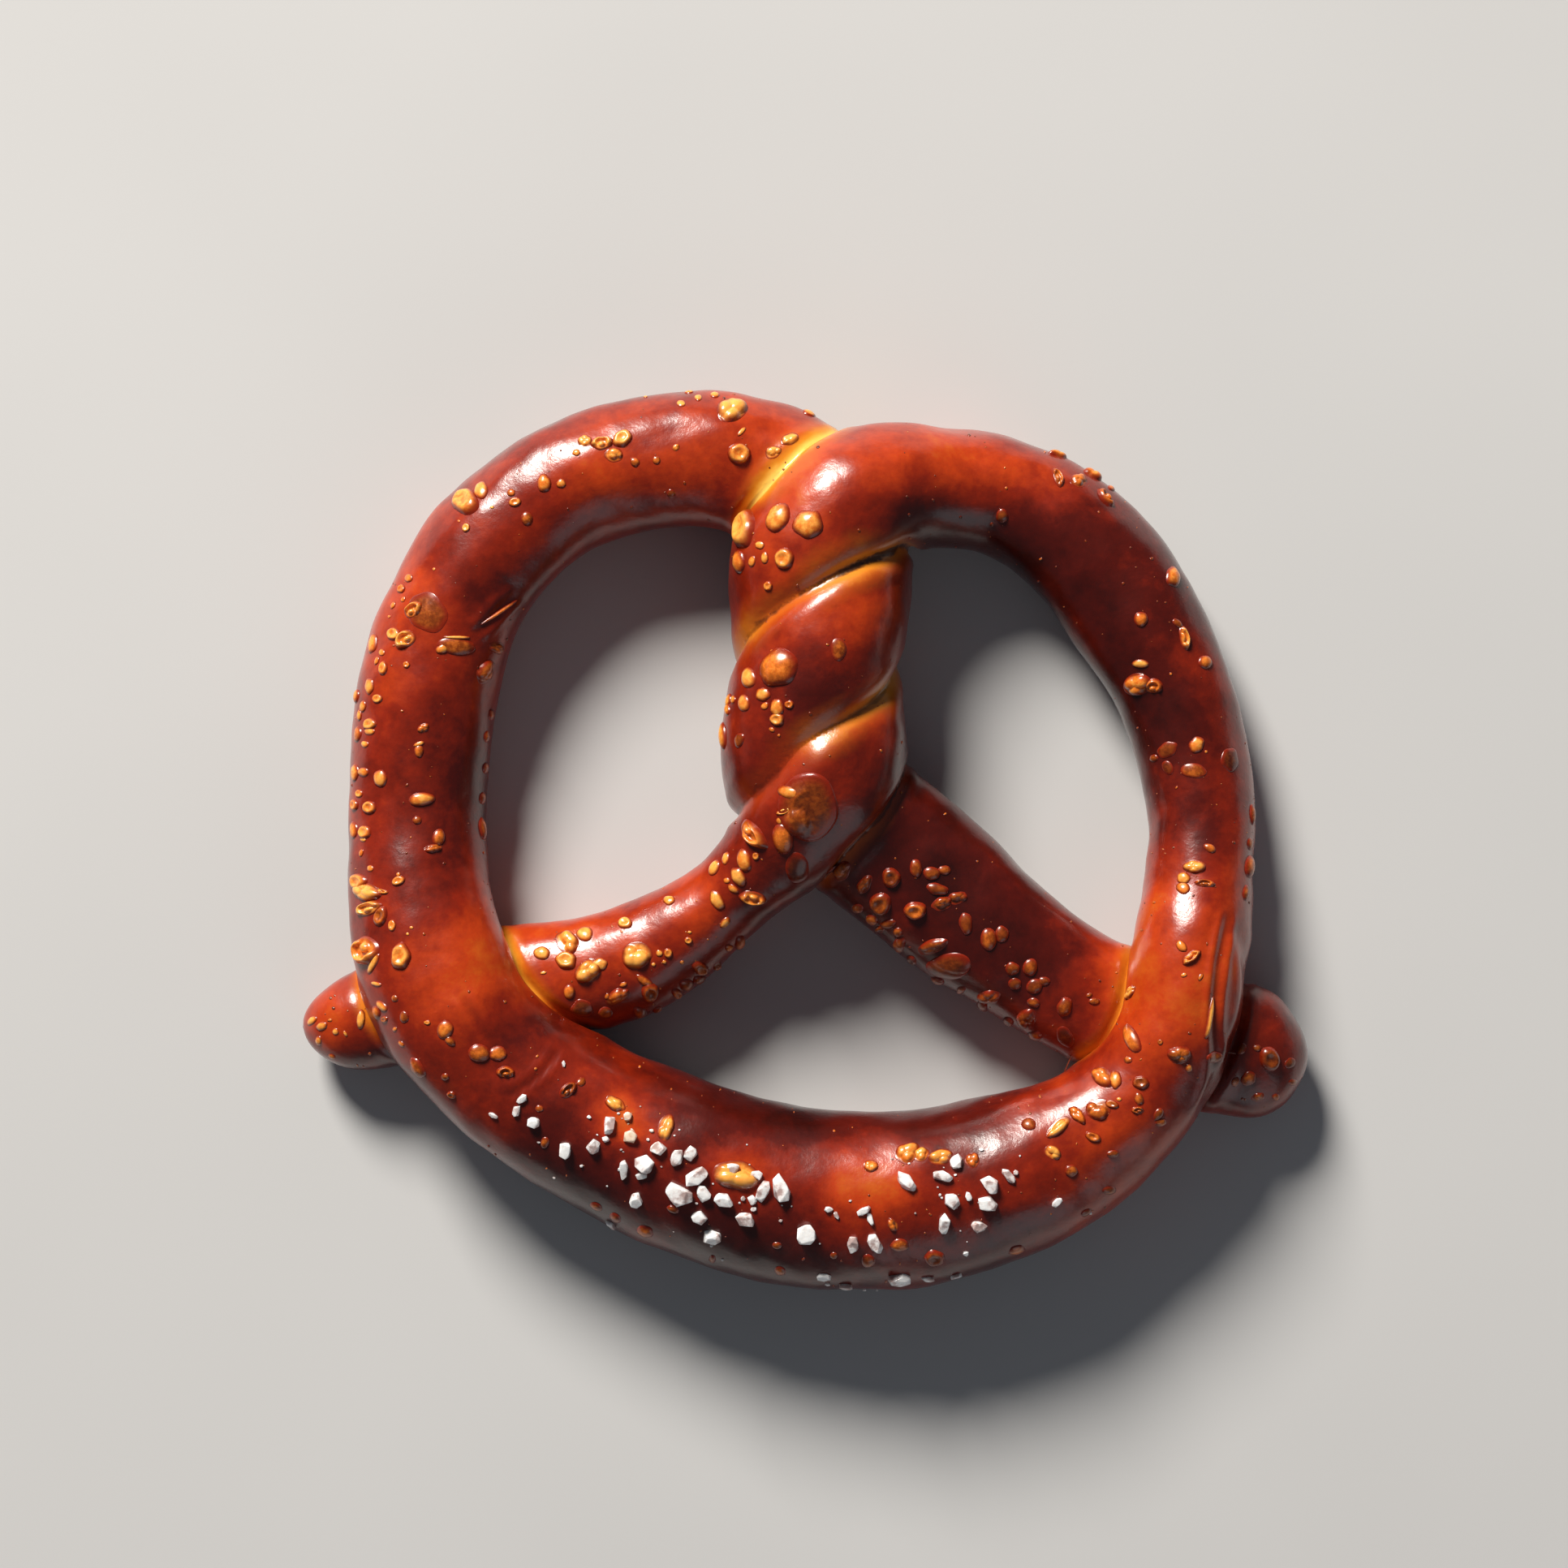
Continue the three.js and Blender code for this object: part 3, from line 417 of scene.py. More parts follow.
def unevenness(points):
    """How far hand-shaped dough stands out or in: a few long waves over its surface."""
    x, y, z = points[..., 0], points[..., 1], points[..., 2]
    out = np.zeros_like(x)
    for size, depth, turn in ((33, 0.24, 0.3), (21, 0.15, 1.9), (13, 0.08, 3.1), (7.1, 0.04, 4.4)):
        k = 2 * math.pi / size
        a = np.sin(k * (x * math.cos(turn) + y * math.sin(turn)) + turn * 7 + 0.7 * np.sin(k * 0.6 * y))
        b = np.sin(k * (z * 0.9 - x * math.sin(turn) + y * math.cos(turn)) + turn * 3)
        out += depth * (a * b + 0.5 * np.sin(k * z * 1.3 + x * k * 0.5 + turn))
    return out


def smooth_step(low, high, value):
    """From 0 at low to 1 at high, which may be the smaller one."""
    t = np.clip((value - low) / (high - low), 0, 1)
    return t * t * (3 - 2 * t)


def bell(value, place, width):
    """1 where a value is at its place, and less the further it is away."""
    return np.exp(-((value - place) / width) ** 2)


def nearness(points, x, y, reach):
    """1 where a point is at x, y in plan, and less the further it is away."""
    return np.exp(-((points[:, 0] - x) ** 2 + (points[:, 1] - y) ** 2) / reach ** 2)


def tree_of(points, faces):
    return BVHTree.FromPolygons([Vector(p) for p in points], faces)


def distance_to(tree, points, most):
    """Distance from each point to a surface, up to the most that matters."""
    out = np.full(len(points), float(most))
    for i, point in enumerate(points):
        found = tree.find_nearest(Vector(point), most)
        if found[3] is not None:
            out[i] = found[3]
    return out


# Where the seams gape wider than elsewhere: x, y, reach, times as deep.
GAPING = [(12.0, 43.3, 6.0, 0.8), (4.0, 40.5, 6.0, 0.7), (-44.0, -24.0, 7.0, 0.8), (48.0, -29.0, 6.0, 0.4)]
GROOVE, GROOVE_WIDTH = 0.45, 0.75  # the seams themselves
LIP, LIP_WIDTH, LIP_AWAY = 0.22, 0.8, 2.0  # the swelling beside them

# Creases of the crust away from the seams: points in x, y, depth, width, height of the lip.
CREASE_LIP_AWAY = 2.2  # in widths of the crease
# Painted shade in the creases: the deeper a crease, the darker its colour, and how widely.
CREASE_SHADE, CREASE_SHADE_WIDTH = 1.3, 0.8  # how dark it is for its depth, and how widely
CREASES = [
    ([(66.8, -11), (65, -17), (64.2, -23), (63.9, -29), (64.6, -36), (62, -43.5)],
     0.24, 0.6, 0.32),
    ([(68.6, -14), (70, -21), (69.6, -28), (66.6, -35), (62, -44.5)], 0.14, 0.8, 0.3),
    ([(-38.6, -32.5), (-40.5, -35.5), (-44, -38.6), (-47, -40)], 0.22, 0.5, 0.14),
    ([(-45.8, 38.9), (-48, 37), (-50.4, 34.4), (-52, 32.6)], 0.14, 0.6, 0.30),
    ([(-53.8, -24), (-50, -30), (-47, -34.5)], 0.15, 0.6, 0.15),
]


def line_distance(points, line):
    """Distance in plan from each point to a line of straight stretches, and to its near end."""
    best = np.full(len(points), 1e9)
    fade = np.zeros(len(points))
    spans = list(zip(line[:-1], line[1:]))
    for i, (a, b) in enumerate(spans):
        a, b = np.array(a), np.array(b)
        u = np.clip(((points[:, :2] - a) @ (b - a)) / ((b - a) @ (b - a)), 0, 1)
        away = np.linalg.norm(points[:, :2] - a - u[:, None] * (b - a), axis=1)
        along = (i + u) / len(spans)
        closer = away < best
        best = np.where(closer, away, best)
        fade = np.where(closer, np.clip(5 * np.minimum(along, 1 - along), 0, 1), fade)
    return best, fade


def rounded(line):
    """A line of straight stretches with its corners cut twice."""
    for _ in range(2):
        cut = [line[0]]
        for a, b in zip(line[:-1], line[1:]):
            cut.append(tuple(0.75 * p + 0.25 * q for p, q in zip(a, b)))
            cut.append(tuple(0.25 * p + 0.75 * q for p, q in zip(a, b)))
        line = cut + [line[-1]]
    return line


def crust_relief(points, seam_away):
    """How far the crust stands out, from its waves, seams and creases."""
    clear = smooth_step(0.3, 2.5, points[:, 2])
    out = unevenness(points)
    groove = np.full(len(points), GROOVE)
    for x, y, reach, times in GAPING:
        groove += GROOVE * times * nearness(points, x, y, reach)
    out -= groove * bell(seam_away, 0, GROOVE_WIDTH)
    out += LIP * bell(seam_away, LIP_AWAY, LIP_WIDTH)
    top = smooth_step(*UPPER_CRUST, points[:, 2])
    for line, depth, width, lip in CREASES:
        away, fade = line_distance(points, rounded(line))
        fold = lip * bell(away, CREASE_LIP_AWAY * width, width) - depth * bell(away, 0, width)
        out += fold * fade * top
    return out * clear


def make_mesh(name, points, faces):
    mesh = bpy.data.meshes.new(name)
    mesh.from_pydata((np.asarray(points) * MM).tolist(), [], faces)
    mesh.update()
    return mesh


def make_object(name, mesh):
    thing = bpy.data.objects.new(name, mesh)
    bpy.context.scene.collection.objects.link(thing)
    return thing


def set_values(mesh, values):
    """Keeps numbers for each vertex, by name, which the material reads."""
    for name, numbers in values.items():
        layer = mesh.attributes.new(name, "FLOAT", "POINT")
        layer.data.foreach_set("value", np.asarray(numbers, np.float32))


def read_points(mesh):
    flat = np.empty(len(mesh.vertices) * 3, np.float32)
    mesh.vertices.foreach_get("co", flat)
    return flat.reshape(-1, 3) / MM


def seam_distance(trees, points):
    """How far each point is from the halves that these trees hold, or from both at a seam."""
    away = np.maximum.reduce([distance_to(tree, points, SEAM_REACH) for tree in trees])
    belly = ring_frames(np.array([middle]))["centre"][0]
    from_belly = np.linalg.norm(points - belly, axis=1)
    return np.maximum(away, SEAM_REACH * smooth_step(*BELLY_CLEAR, from_belly))


def build_half(end, tip, outward):
    """One half of the rope, smooth, as a closed skin with its outward directions."""
    length = half_lengths(middle, end, tip)
    grid = half_grid(length)
    caps = ring_frames(np.array([middle - BELLY_CAP * outward, end]))["centre"]
    points = np.vstack([grid.reshape(-1, 3), caps])
    normals = np.vstack([half_normals(grid, outward).reshape(-1, 3), np.zeros_like(caps)])
    return {"points": points, "normals": normals, "faces": grid_faces(len(length), outward)}


def joined(halves):
    """The halves as one closed mesh."""
    things = [make_object(f"half_{i}", make_mesh(f"half_{i}", h["points"], h["faces"]))
              for i, h in enumerate(halves)]
    join = things[0].modifiers.new("join", "BOOLEAN")
    join.operation = "UNION"
    join.solver = "MANIFOLD"
    join.object = things[1]
    ready = things[0].evaluated_get(bpy.context.evaluated_depsgraph_get())
    mesh = bpy.data.meshes.new_from_object(ready)
    for thing in things:
        bpy.data.objects.remove(thing)
    return mesh


def build_body():
    """Both halves with their relief, joined to one closed skin."""
    halves = [build_half(0.0, LEFT_TIP, -1), build_half(path["total"], RIGHT_TIP, 1)]
    trees = [tree_of(h["points"], h["faces"]) for h in halves]
    for half, other in zip(halves, reversed(trees)):
        relief = crust_relief(half["points"], seam_distance([other], half["points"]))
        half["points"] = half["points"] + half["normals"] * relief[:, None]
    halves[1]["points"][:RING_POINTS] = halves[0]["points"][:RING_POINTS]
    mesh = joined(halves)
    trees = [tree_of(h["points"], h["faces"]) for h in halves]
    return make_object("crust", mesh), seam_distance(trees, read_points(mesh))


# ---- where blisters and salt lie

OVERHEAD = 60.0  # the height from which the crust is looked for
DOWN = Vector((0, 0, -1))
# A mark faces the way the crust does on average at these places round it.
AROUND = ((0.0, 0.0), (0.9, 0.0), (-0.9, 0.0), (0.0, 0.9), (0.0, -0.9))
EDGE_ON = 0.2  # crust that faces up less than this is past the rope's edge
FURTHEST_OUT = 0.97  # how far out on the flank a mark can lie, in half widths
SAME_CRUST = 2.5  # a greater difference in height near a mark belongs to another strand
STEEPEST = 0.55  # marks on crust that faces up less than this are drawn out no further
LAID_FROM, LAID_WITHIN = 3.0, 7.0  # marks are laid on crust this near


class Draw:
    """Repeatable random draws."""

    def __init__(self, seed):
        self.state = seed

    def __call__(self, low=0.0, high=1.0):
        self.state = (self.state * 1664525 + 1013904223) % 4294967296
        return low + (high - low) * (self.state / 4294967296)

    def mostly_small(self, least, most):
        """A size between these, most often near the least."""
        return least + (most - least) * self() ** 3


FINE_STEP = 0.4
fine_length = np.arange(FINE_STEP, path["total"], FINE_STEP)
fine = ring_frames(fine_length)


def on_ring(ring, across, upward):
    """The point of a ring at these shares of its half width and half thickness."""
    return (fine["centre"][ring] + fine["side"][ring] * fine["width"][ring] * across
            + fine["up"][ring] * fine["thickness"][ring] * upward)


def flank_by(x, y):
    """The side of the rope that comes nearest to x, y, with the direction its crust faces."""
    dx, dy = x - fine["centre"][:, 0], y - fine["centre"][:, 1]
    side, width = fine["side"], fine["width"]
    along = np.abs(dx * side[:, 1] - dy * side[:, 0])
    across = dx * side[:, 0] + dy * side[:, 1]
    offset = np.clip(across / np.maximum(width, 1e-6), -FURTHEST_OUT, FURTHEST_OUT)
    best = int(np.argmin(along + np.maximum(0, np.abs(across) - width)))
    rise = math.sqrt(1 - offset[best] ** 2)
    normal = side[best] * offset[best] / width[best] + fine["up"][best] * rise / fine["thickness"][best]
    return on_ring(best, offset[best], rise), unit(normal)


def crust_over(tree, x, y):
    """The crust that shows from above at x, y and the way it faces; past its edge, its flank."""
    found = [tree.ray_cast(Vector((x + a, y + b, OVERHEAD)), DOWN) for a, b in AROUND]
    if found[0][0] is None or found[0][1].z < EDGE_ON:
        return flank_by(x, y)
    top = found[0][0].z
    near = [f[1] for f in found if f[0] is not None and abs(f[0].z - top) < SAME_CRUST]
    return np.array(found[0][0]), unit(np.sum(near, axis=0))


def frame_on(normal, turn):
    """Directions along a mark, across it and out of the crust."""
    lean = Vector((0, 0, 1)).rotation_difference(Vector(normal)).to_matrix()
    spin = np.array([[math.cos(turn), -math.sin(turn), 0], [math.sin(turn), math.cos(turn), 0], [0, 0, 1]])
    return np.array(lean) @ spin


def seen_from_above(normal, turn):
    """Directions on the crust that keep a mark's length and width when seen from above."""
    facing = unit(np.array([normal[0], normal[1], max(normal[2], STEEPEST)]))
    flat = np.array([[math.cos(turn), math.sin(turn)], [-math.sin(turn), math.cos(turn)]])
    along, across = (np.append(d, -(d @ facing[:2]) / facing[2]) for d in flat)
    return np.stack([along, across, np.array(normal)], axis=1)


def lay(tree, point, basis, u, v):
    """The crust at u along and v across from a point on it."""
    out = basis[:, 2]
    start = point + basis[:, 0] * u + basis[:, 1] * v
    found = tree.ray_cast(Vector(start + out * LAID_FROM), Vector(-out), LAID_WITHIN)
    return start if found[0] is None else np.array(found[0])


# ---- blisters

BLISTER_SEED = 2024
PINPOINTS = 620  # the tiniest blisters, all over the crust
PINPOINT_SIZES = (0.13, 0.36)
# Rings and spokes of a blister, from this half size up, and of the larger uneven ones.
GRIDS = ((2.2, 11, 28), (1.0, 8, 20), (0.5, 6, 14), (0.0, 4, 9))
UNEVEN_FROM, UNEVEN_GRID = 0.8, (14, 36)
LEAST_RISE, MOST_RISE = 0.88, 1.12  # how far blisters of a size differ
WOBBLE = 0.05  # how far their outlines are off an oval
STEEP_RISE = 0.4  # how much more blisters on steep crust stand out
SUNK = 0.12  # how deep the foot of a blister lies in the crust


def bump_at(u, v, x, y, size):
    """A round bump at x, y, in a patch whose edge is at a distance of 1."""
    return np.sqrt(np.clip(1 - ((u - x) ** 2 + (v - y) ** 2) / size ** 2, 0, 1))


def profile(form, u, v, lean):
    """Height of a blister in units of its rise, over a disc whose edge is at a distance of 1."""
    t = np.hypot(u, v)
    angle = np.arctan2(v, u) - lean
    dome = np.clip(1 - t ** 2, 0, 1) ** 0.7
    foot = smooth_step(1.0, 0.8, t)
    if form == RING:
        return np.minimum(dome * 1.5, 0.62 * foot + 0.42 * bell(t, 0.6, 0.26))
    if form == CURL:
        shut = smooth_step(-0.85, 0.0, np.cos(angle))
        return np.minimum(dome * 1.8, 0.35 * foot + 1.25 * bell(t, 0.66, 0.17) * shut
                          + 0.8 * bump_at(u, v, -0.3 * math.cos(lean), -0.3 * math.sin(lean), 0.32))
    if form == FLAT:
        return 0.5 * dome
    if form == DISC:
        ridge = bell(t, 0.5, 0.1) * smooth_step(0.1, 0.8, np.cos(angle - 1.2))
        burst = 1.2 * bump_at(u, v, -0.42, 0.36, 0.4)
        return foot * 0.45 + 0.3 * bell(t, 0.93, 0.05) + 0.45 * ridge + burst
    if form == LOBE:
        c, s = math.cos(lean), math.sin(lean)
        bumps = [bump_at(u, v, 0.38 * c, 0.38 * s, 0.6), 0.9 * bump_at(u, v, -0.42 * c, 0.34 * s, 0.54),
                 0.8 * bump_at(u, v, -0.1 * s, -0.5 * c, 0.48), 0.7 * bump_at(u, v, 0.55 * s, 0.4 * c, 0.42)]
        return np.maximum.reduce(bumps) + 0.12 * dome
    return dome


def blister_patch(tree, draw, x, y, length, width, turn, form):
    """A blister as a round grid laid on the crust: points, faces and its shading values."""
    size = math.sqrt(length * width)
    rings, spokes = next(grid for least, *grid in GRIDS if size > least)
    if form not in (DOME, RING) and size > UNEVEN_FROM:
        rings, spokes = UNEVEN_GRID
    share = BLISTER_RISE if size <= BROAD_BLISTER else BROAD_RISE
    rise = size * share * draw(LEAST_RISE, MOST_RISE)
    point, normal = crust_over(tree, x, y)
    basis = seen_from_above(normal, math.radians(turn))
    rise *= 1 + STEEP_RISE * smooth_step(0.7, 0.3, normal[2])
    lean = draw(0, 2 * math.pi) if form != DISC else 0.0
    wobble = [(k, draw(-WOBBLE, WOBBLE), draw(0, 6.3)) for k in (2, 3, 5)]
    angle = np.arange(spokes) / spokes * 2 * math.pi
    outline = 1 + sum(a * np.cos(k * angle + b) for k, a, b in wobble)
    share = 1 - (1 - np.arange(1, rings + 1) / rings) ** 1.3
    reach = np.concatenate([[0.0], np.repeat(share, spokes)])
    around = np.concatenate([[0.0], np.tile(angle, rings)])
    edge = reach * np.concatenate([[1.0], np.tile(outline, rings)])
    u, v = reach * np.cos(around), reach * np.sin(around)
    height = profile(form, u, v, lean)
    sink = np.where(reach > 0.999, SUNK, 0.0)
    feet = [lay(tree, point, basis, e * math.cos(a) * length, e * math.sin(a) * width)
            for e, a in zip(edge, around)]
    points = np.array(feet) + np.outer(height * rise - sink, basis[:, 2])
    faces = [(0, 1 + j, 1 + (j + 1) % spokes) for j in range(spokes)]
    for i in range(1, rings):
        a, b = 1 + (i - 1) * spokes, 1 + i * spokes
        faces += [(a + j, b + j, b + (j + 1) % spokes, a + (j + 1) % spokes) for j in range(spokes)]
    return points, faces, height, reach


def pinpoint_places(draw, tree):
    """Places all over the upper crust, drawn along the rope and round it."""
    places = []
    for _ in range(PINPOINTS):
        ring = int(draw(5, len(fine_length) - 5))
        angle = math.radians(draw(5, 175))
        start = on_ring(ring, math.cos(angle), math.sin(angle))
        found = tree.ray_cast(Vector((start[0], start[1], OVERHEAD)), DOWN)
        if found[0] is not None and abs(found[0].z - start[2]) < 1.0:
            places.append((start[0], start[1], draw.mostly_small(*PINPOINT_SIZES)))
    return places


def build_blisters(tree, draw):
    """All blisters in one mesh, each laid on the crust."""
    points, faces, values, count = [], [], {"height": [], "edge": [], "tone": []}, 0
    rows = [(x / 10, y / 10, length / 10, width / 10, turn, tone / 10, *(form or [DOME]))
            for x, y, length, width, turn, tone, *form in BLISTERS]
    for x, y, size in pinpoint_places(draw, tree):
        rows.append((x, y, size, size * draw(0.6, 1.0), draw(0, 180), draw(0.0, 0.6), DOME))
    for x, y, length, width, turn, tone, form in rows:
        patch, sides, height, edge = blister_patch(tree, draw, x, y, length, width, turn, form)
        points.append(patch)
        faces += [tuple(count + i for i in side) for side in sides]
        count += len(patch)
        values["height"].extend(height)
        values["edge"].extend(edge)
        values["tone"].extend([tone] * len(patch))
    mesh = make_mesh("blisters", np.vstack(points), faces)
    set_values(mesh, values)
    mesh.shade_smooth()
    return make_object("blisters", mesh)


# ---- salt

SALT_SEED = 71
SALT_THICKNESS = 0.72  # the height of a grain as a share of its width
SALT_CRUMBS = 60
SALT_TILT = 0.28  # how far a grain leans off the crust's direction, at most
SALT_STANDS = 0.45  # how far the middle of a grain is off the crust, in its height
SALT_WEAR = 0.08  # how far its edges are worn, in its width
CRUMB_SIZES = (0.16, 0.5)
CRUMB_REACH = 6.0  # how far from a grain its crumbs lie, at most
# Painted light: grains near the lit top of the bow get an amber tint, a painted glow of the crust, strongest
# here: x, y, reach.
PAINTED_GLOW_ON_SALT = (-25.0, -45.5, 6.0)  # where the crust tints the grains most: x, y, reach
# The rings of corners of a grain: height, least and most reach, in its half sizes.
GRAIN_RINGS = ((-1.0, 0.8, 1.0), (0.35, 0.8, 1.15), (0.95, 0.6, 1.0))


def broken_corners(draw, length, width, height):
    """Corners of a grain: uneven rings of five, the top one smaller."""
    out = []
    for level, least, most in GRAIN_RINGS:
        turn = draw(0, 2 * math.pi)
        for i in range(5):
            angle = turn + (i + draw(-0.3, 0.3)) * 0.4 * math.pi
            reach = draw(least, most)
            out.append((length * reach * math.cos(angle), width * reach * math.sin(angle),
                        height * (level + draw(-0.06, 0.06))))
    return out


def add_grain(out, corners, point, basis, bevel, painted_glow):
    """A grain: the hull of its corners with worn edges, set on the crust."""
    form = bmesh.new()
    for corner in corners:
        form.verts.new(corner)
    bmesh.ops.convex_hull(form, input=form.verts)
    loose = [v for v in form.verts if not v.link_faces]
    bmesh.ops.delete(form, geom=loose, context="VERTS")
    bmesh.ops.dissolve_limit(form, angle_limit=0.2, verts=form.verts, edges=form.edges)
    bmesh.ops.bevel(form, geom=list(form.edges), offset=bevel, segments=2, profile=0.6, affect="EDGES")
    offset = len(out["points"])
    form.verts.index_update()
    out["points"] += [basis @ np.array(vertex.co) + point for vertex in form.verts]
    out["painted_glow"] += [painted_glow] * len(form.verts)
    out["faces"] += [tuple(offset + v.index for v in face.verts) for face in form.faces]
    form.free()


def build_salt(tree, draw):
    """All salt in one mesh: the coarse grains, and crumbs between them."""
    out = {"points": [], "faces": [], "painted_glow": []}
    warm_x, warm_y, warm_reach = PAINTED_GLOW_ON_SALT
    rows = [(x / 10, y / 10, length / 10, width / 10, turn) for x, y, length, width, turn in SALT]
    for _ in range(SALT_CRUMBS):
        x, y = rows[int(draw() * len(SALT))][:2]
        reach, angle = CRUMB_REACH * math.sqrt(draw()), draw(0, 2 * math.pi)
        size = draw.mostly_small(*CRUMB_SIZES)
        rows.append((x + reach * math.cos(angle), y + reach * math.sin(angle), size, size * draw(0.6, 1), 0))
    for x, y, length, width, turn in rows:
        height = SALT_THICKNESS * width
        point, normal = crust_over(tree, x, y)
        tilt = unit(normal + np.array([draw(-SALT_TILT, SALT_TILT), draw(-SALT_TILT, SALT_TILT), 0.0]))
        basis = frame_on(tilt, math.radians(turn))
        corners = broken_corners(draw, length, width, height)
        # Painted glow from the lit crust, strongest at one place.
        glow = math.exp(-((x - warm_x) ** 2 + (y - warm_y) ** 2) / warm_reach ** 2)
        place = point + normal * SALT_STANDS * height
        add_grain(out, corners, place, basis, SALT_WEAR * width, glow * draw(0.4, 1.0))
    mesh = make_mesh("salt", np.array(out["points"]), out["faces"])
    set_values(mesh, {"painted_glow": out["painted_glow"]})
    return make_object("salt", mesh)


# ---- materials

class Nodes:
    """Builds a material's nodes with short calls."""

    def __init__(self, name):
        self.material = bpy.data.materials.new(name)
        self.material.use_nodes = True
        self.tree = self.material.node_tree
        self.shader = self.tree.nodes["Principled BSDF"]
        self.place = self.add("ShaderNodeTexCoord").outputs["Object"]

    def add(self, kind, **settings):
        node = self.tree.nodes.new(kind)
        for key, value in settings.items():
            setattr(node, key, value)
        return node

    def plug(self, socket, value):
        """Links a socket to another one, or sets it to a number, a vector or a colour."""
        if isinstance(value, bpy.types.NodeSocket):
            self.tree.links.new(value, socket)
        elif socket.type == "RGBA":
            socket.default_value = (*value, 1.0)
        else:
            socket.default_value = value

    def value(self, name):
        return self.add("ShaderNodeAttribute", attribute_name=name).outputs["Fac"]

    def texture(self, kind, output, **settings):
        """A texture that runs through the piece, in metres."""
        node = self.add(kind)
        self.plug(node.inputs["Vector"], self.place)
        for key, value in settings.items():
            self.plug(node.inputs[key], value)
        return node.outputs[output]

    def noise(self, scale, detail=3.0, roughness=0.55, distortion=0.0):
        return self.texture("ShaderNodeTexNoise", "Fac", Scale=scale, Detail=detail, Roughness=roughness,
                            Distortion=distortion)

    def spots(self, scale):
        return self.texture("ShaderNodeTexVoronoi", "Distance", Scale=scale)

    def maths(self, operation, a, b=0.0, c=0.0):
        node = self.add("ShaderNodeMath", operation=operation)
        for socket, value in zip(node.inputs, (a, b, c)):
            self.plug(socket, value)
        return node.outputs[0]

    def times(self, a, b):
        return self.maths("MULTIPLY", a, b)

    def plus(self, a, b):
        return self.maths("ADD", a, b)

    def between(self, value, low, high, start=0.0, end=1.0):
        """From start where a value is low to end where it is high."""
        node = self.add("ShaderNodeMapRange", interpolation_type="SMOOTHSTEP")
        for socket, number in zip(node.inputs, (value, low, high, start, end)):
            self.plug(socket, number)
        return node.outputs[0]

    def ramp(self, value, stops):
        node = self.add("ShaderNodeValToRGB")
        self.plug(node.inputs[0], value)
        marks = node.color_ramp.elements
        while len(marks) < len(stops):
            marks.new(0.5)
        for mark, (place, colour) in zip(marks, stops):
            mark.position = place
            mark.color = (*colour, 1.0)
        return node.outputs[0]

    def mix(self, share, a, b):
        node = self.add("ShaderNodeMix", data_type="RGBA")
        self.plug(node.inputs["Factor"], share)
        self.plug(node.inputs["A"], a)
        self.plug(node.inputs["B"], b)
        return node.outputs["Result"]

    def bump(self, height, strength, distance, under=None):
        node = self.add("ShaderNodeBump")
        self.plug(node.inputs["Strength"], strength)
        self.plug(node.inputs["Distance"], distance)
        self.plug(node.inputs["Height"], height)
        if under is not None:
            self.plug(node.inputs["Normal"], under)
        return node.outputs[0]

    def finish(self, **inputs):
        """Plugs values into the shader, by the names of its inputs in lower case."""
        for key, value in inputs.items():
            name = key.replace("_", " ").title().replace("Ior", "IOR")
            self.plug(self.shader.inputs[name], value)
        return self.material


# The browning of the crust, from darkest to palest, and its underside.
# The darkest browning, also used as painted shade in seam lines and creases.
BURNT_AND_SHADE = (0.026, 0.0022, 0.0013)
MAHOGANY = (0.090, 0.0052, 0.0020)
RUSSET = (0.240, 0.0140, 0.0022)
EMBER = (0.460, 0.0400, 0.0032)
AMBER = (0.580, 0.1250, 0.0080)
GOLD = (0.800, 0.3300, 0.0240)
STRAW = (0.900, 0.5800, 0.1200)
UNDERSIDE = (0.240, 0.0750, 0.0180)
# The skin of the blisters, from darkest to palest.
BLISTER_TONES = [(0.0, (0.10, 0.012, 0.002)), (0.35, (0.28, 0.052, 0.004)),
                 (0.7, (0.76, 0.185, 0.018)), (1.0, (0.95, 0.42, 0.075))]
# Salt, from its see-through patches to its white.
SALT_TONES = [(0.39, (0.50, 0.37, 0.35)), (0.48, (0.86, 0.80, 0.79)), (0.56, (1.0, 1.0, 1.0))]
# The amber of the painted glow on the salt.
PAINTED_GLOW_TINT = (1.0, 0.72, 0.46)
FLOOR_TONES = [(0.35, (0.60, 0.60, 0.60)), (0.65, (0.62, 0.62, 0.62))]


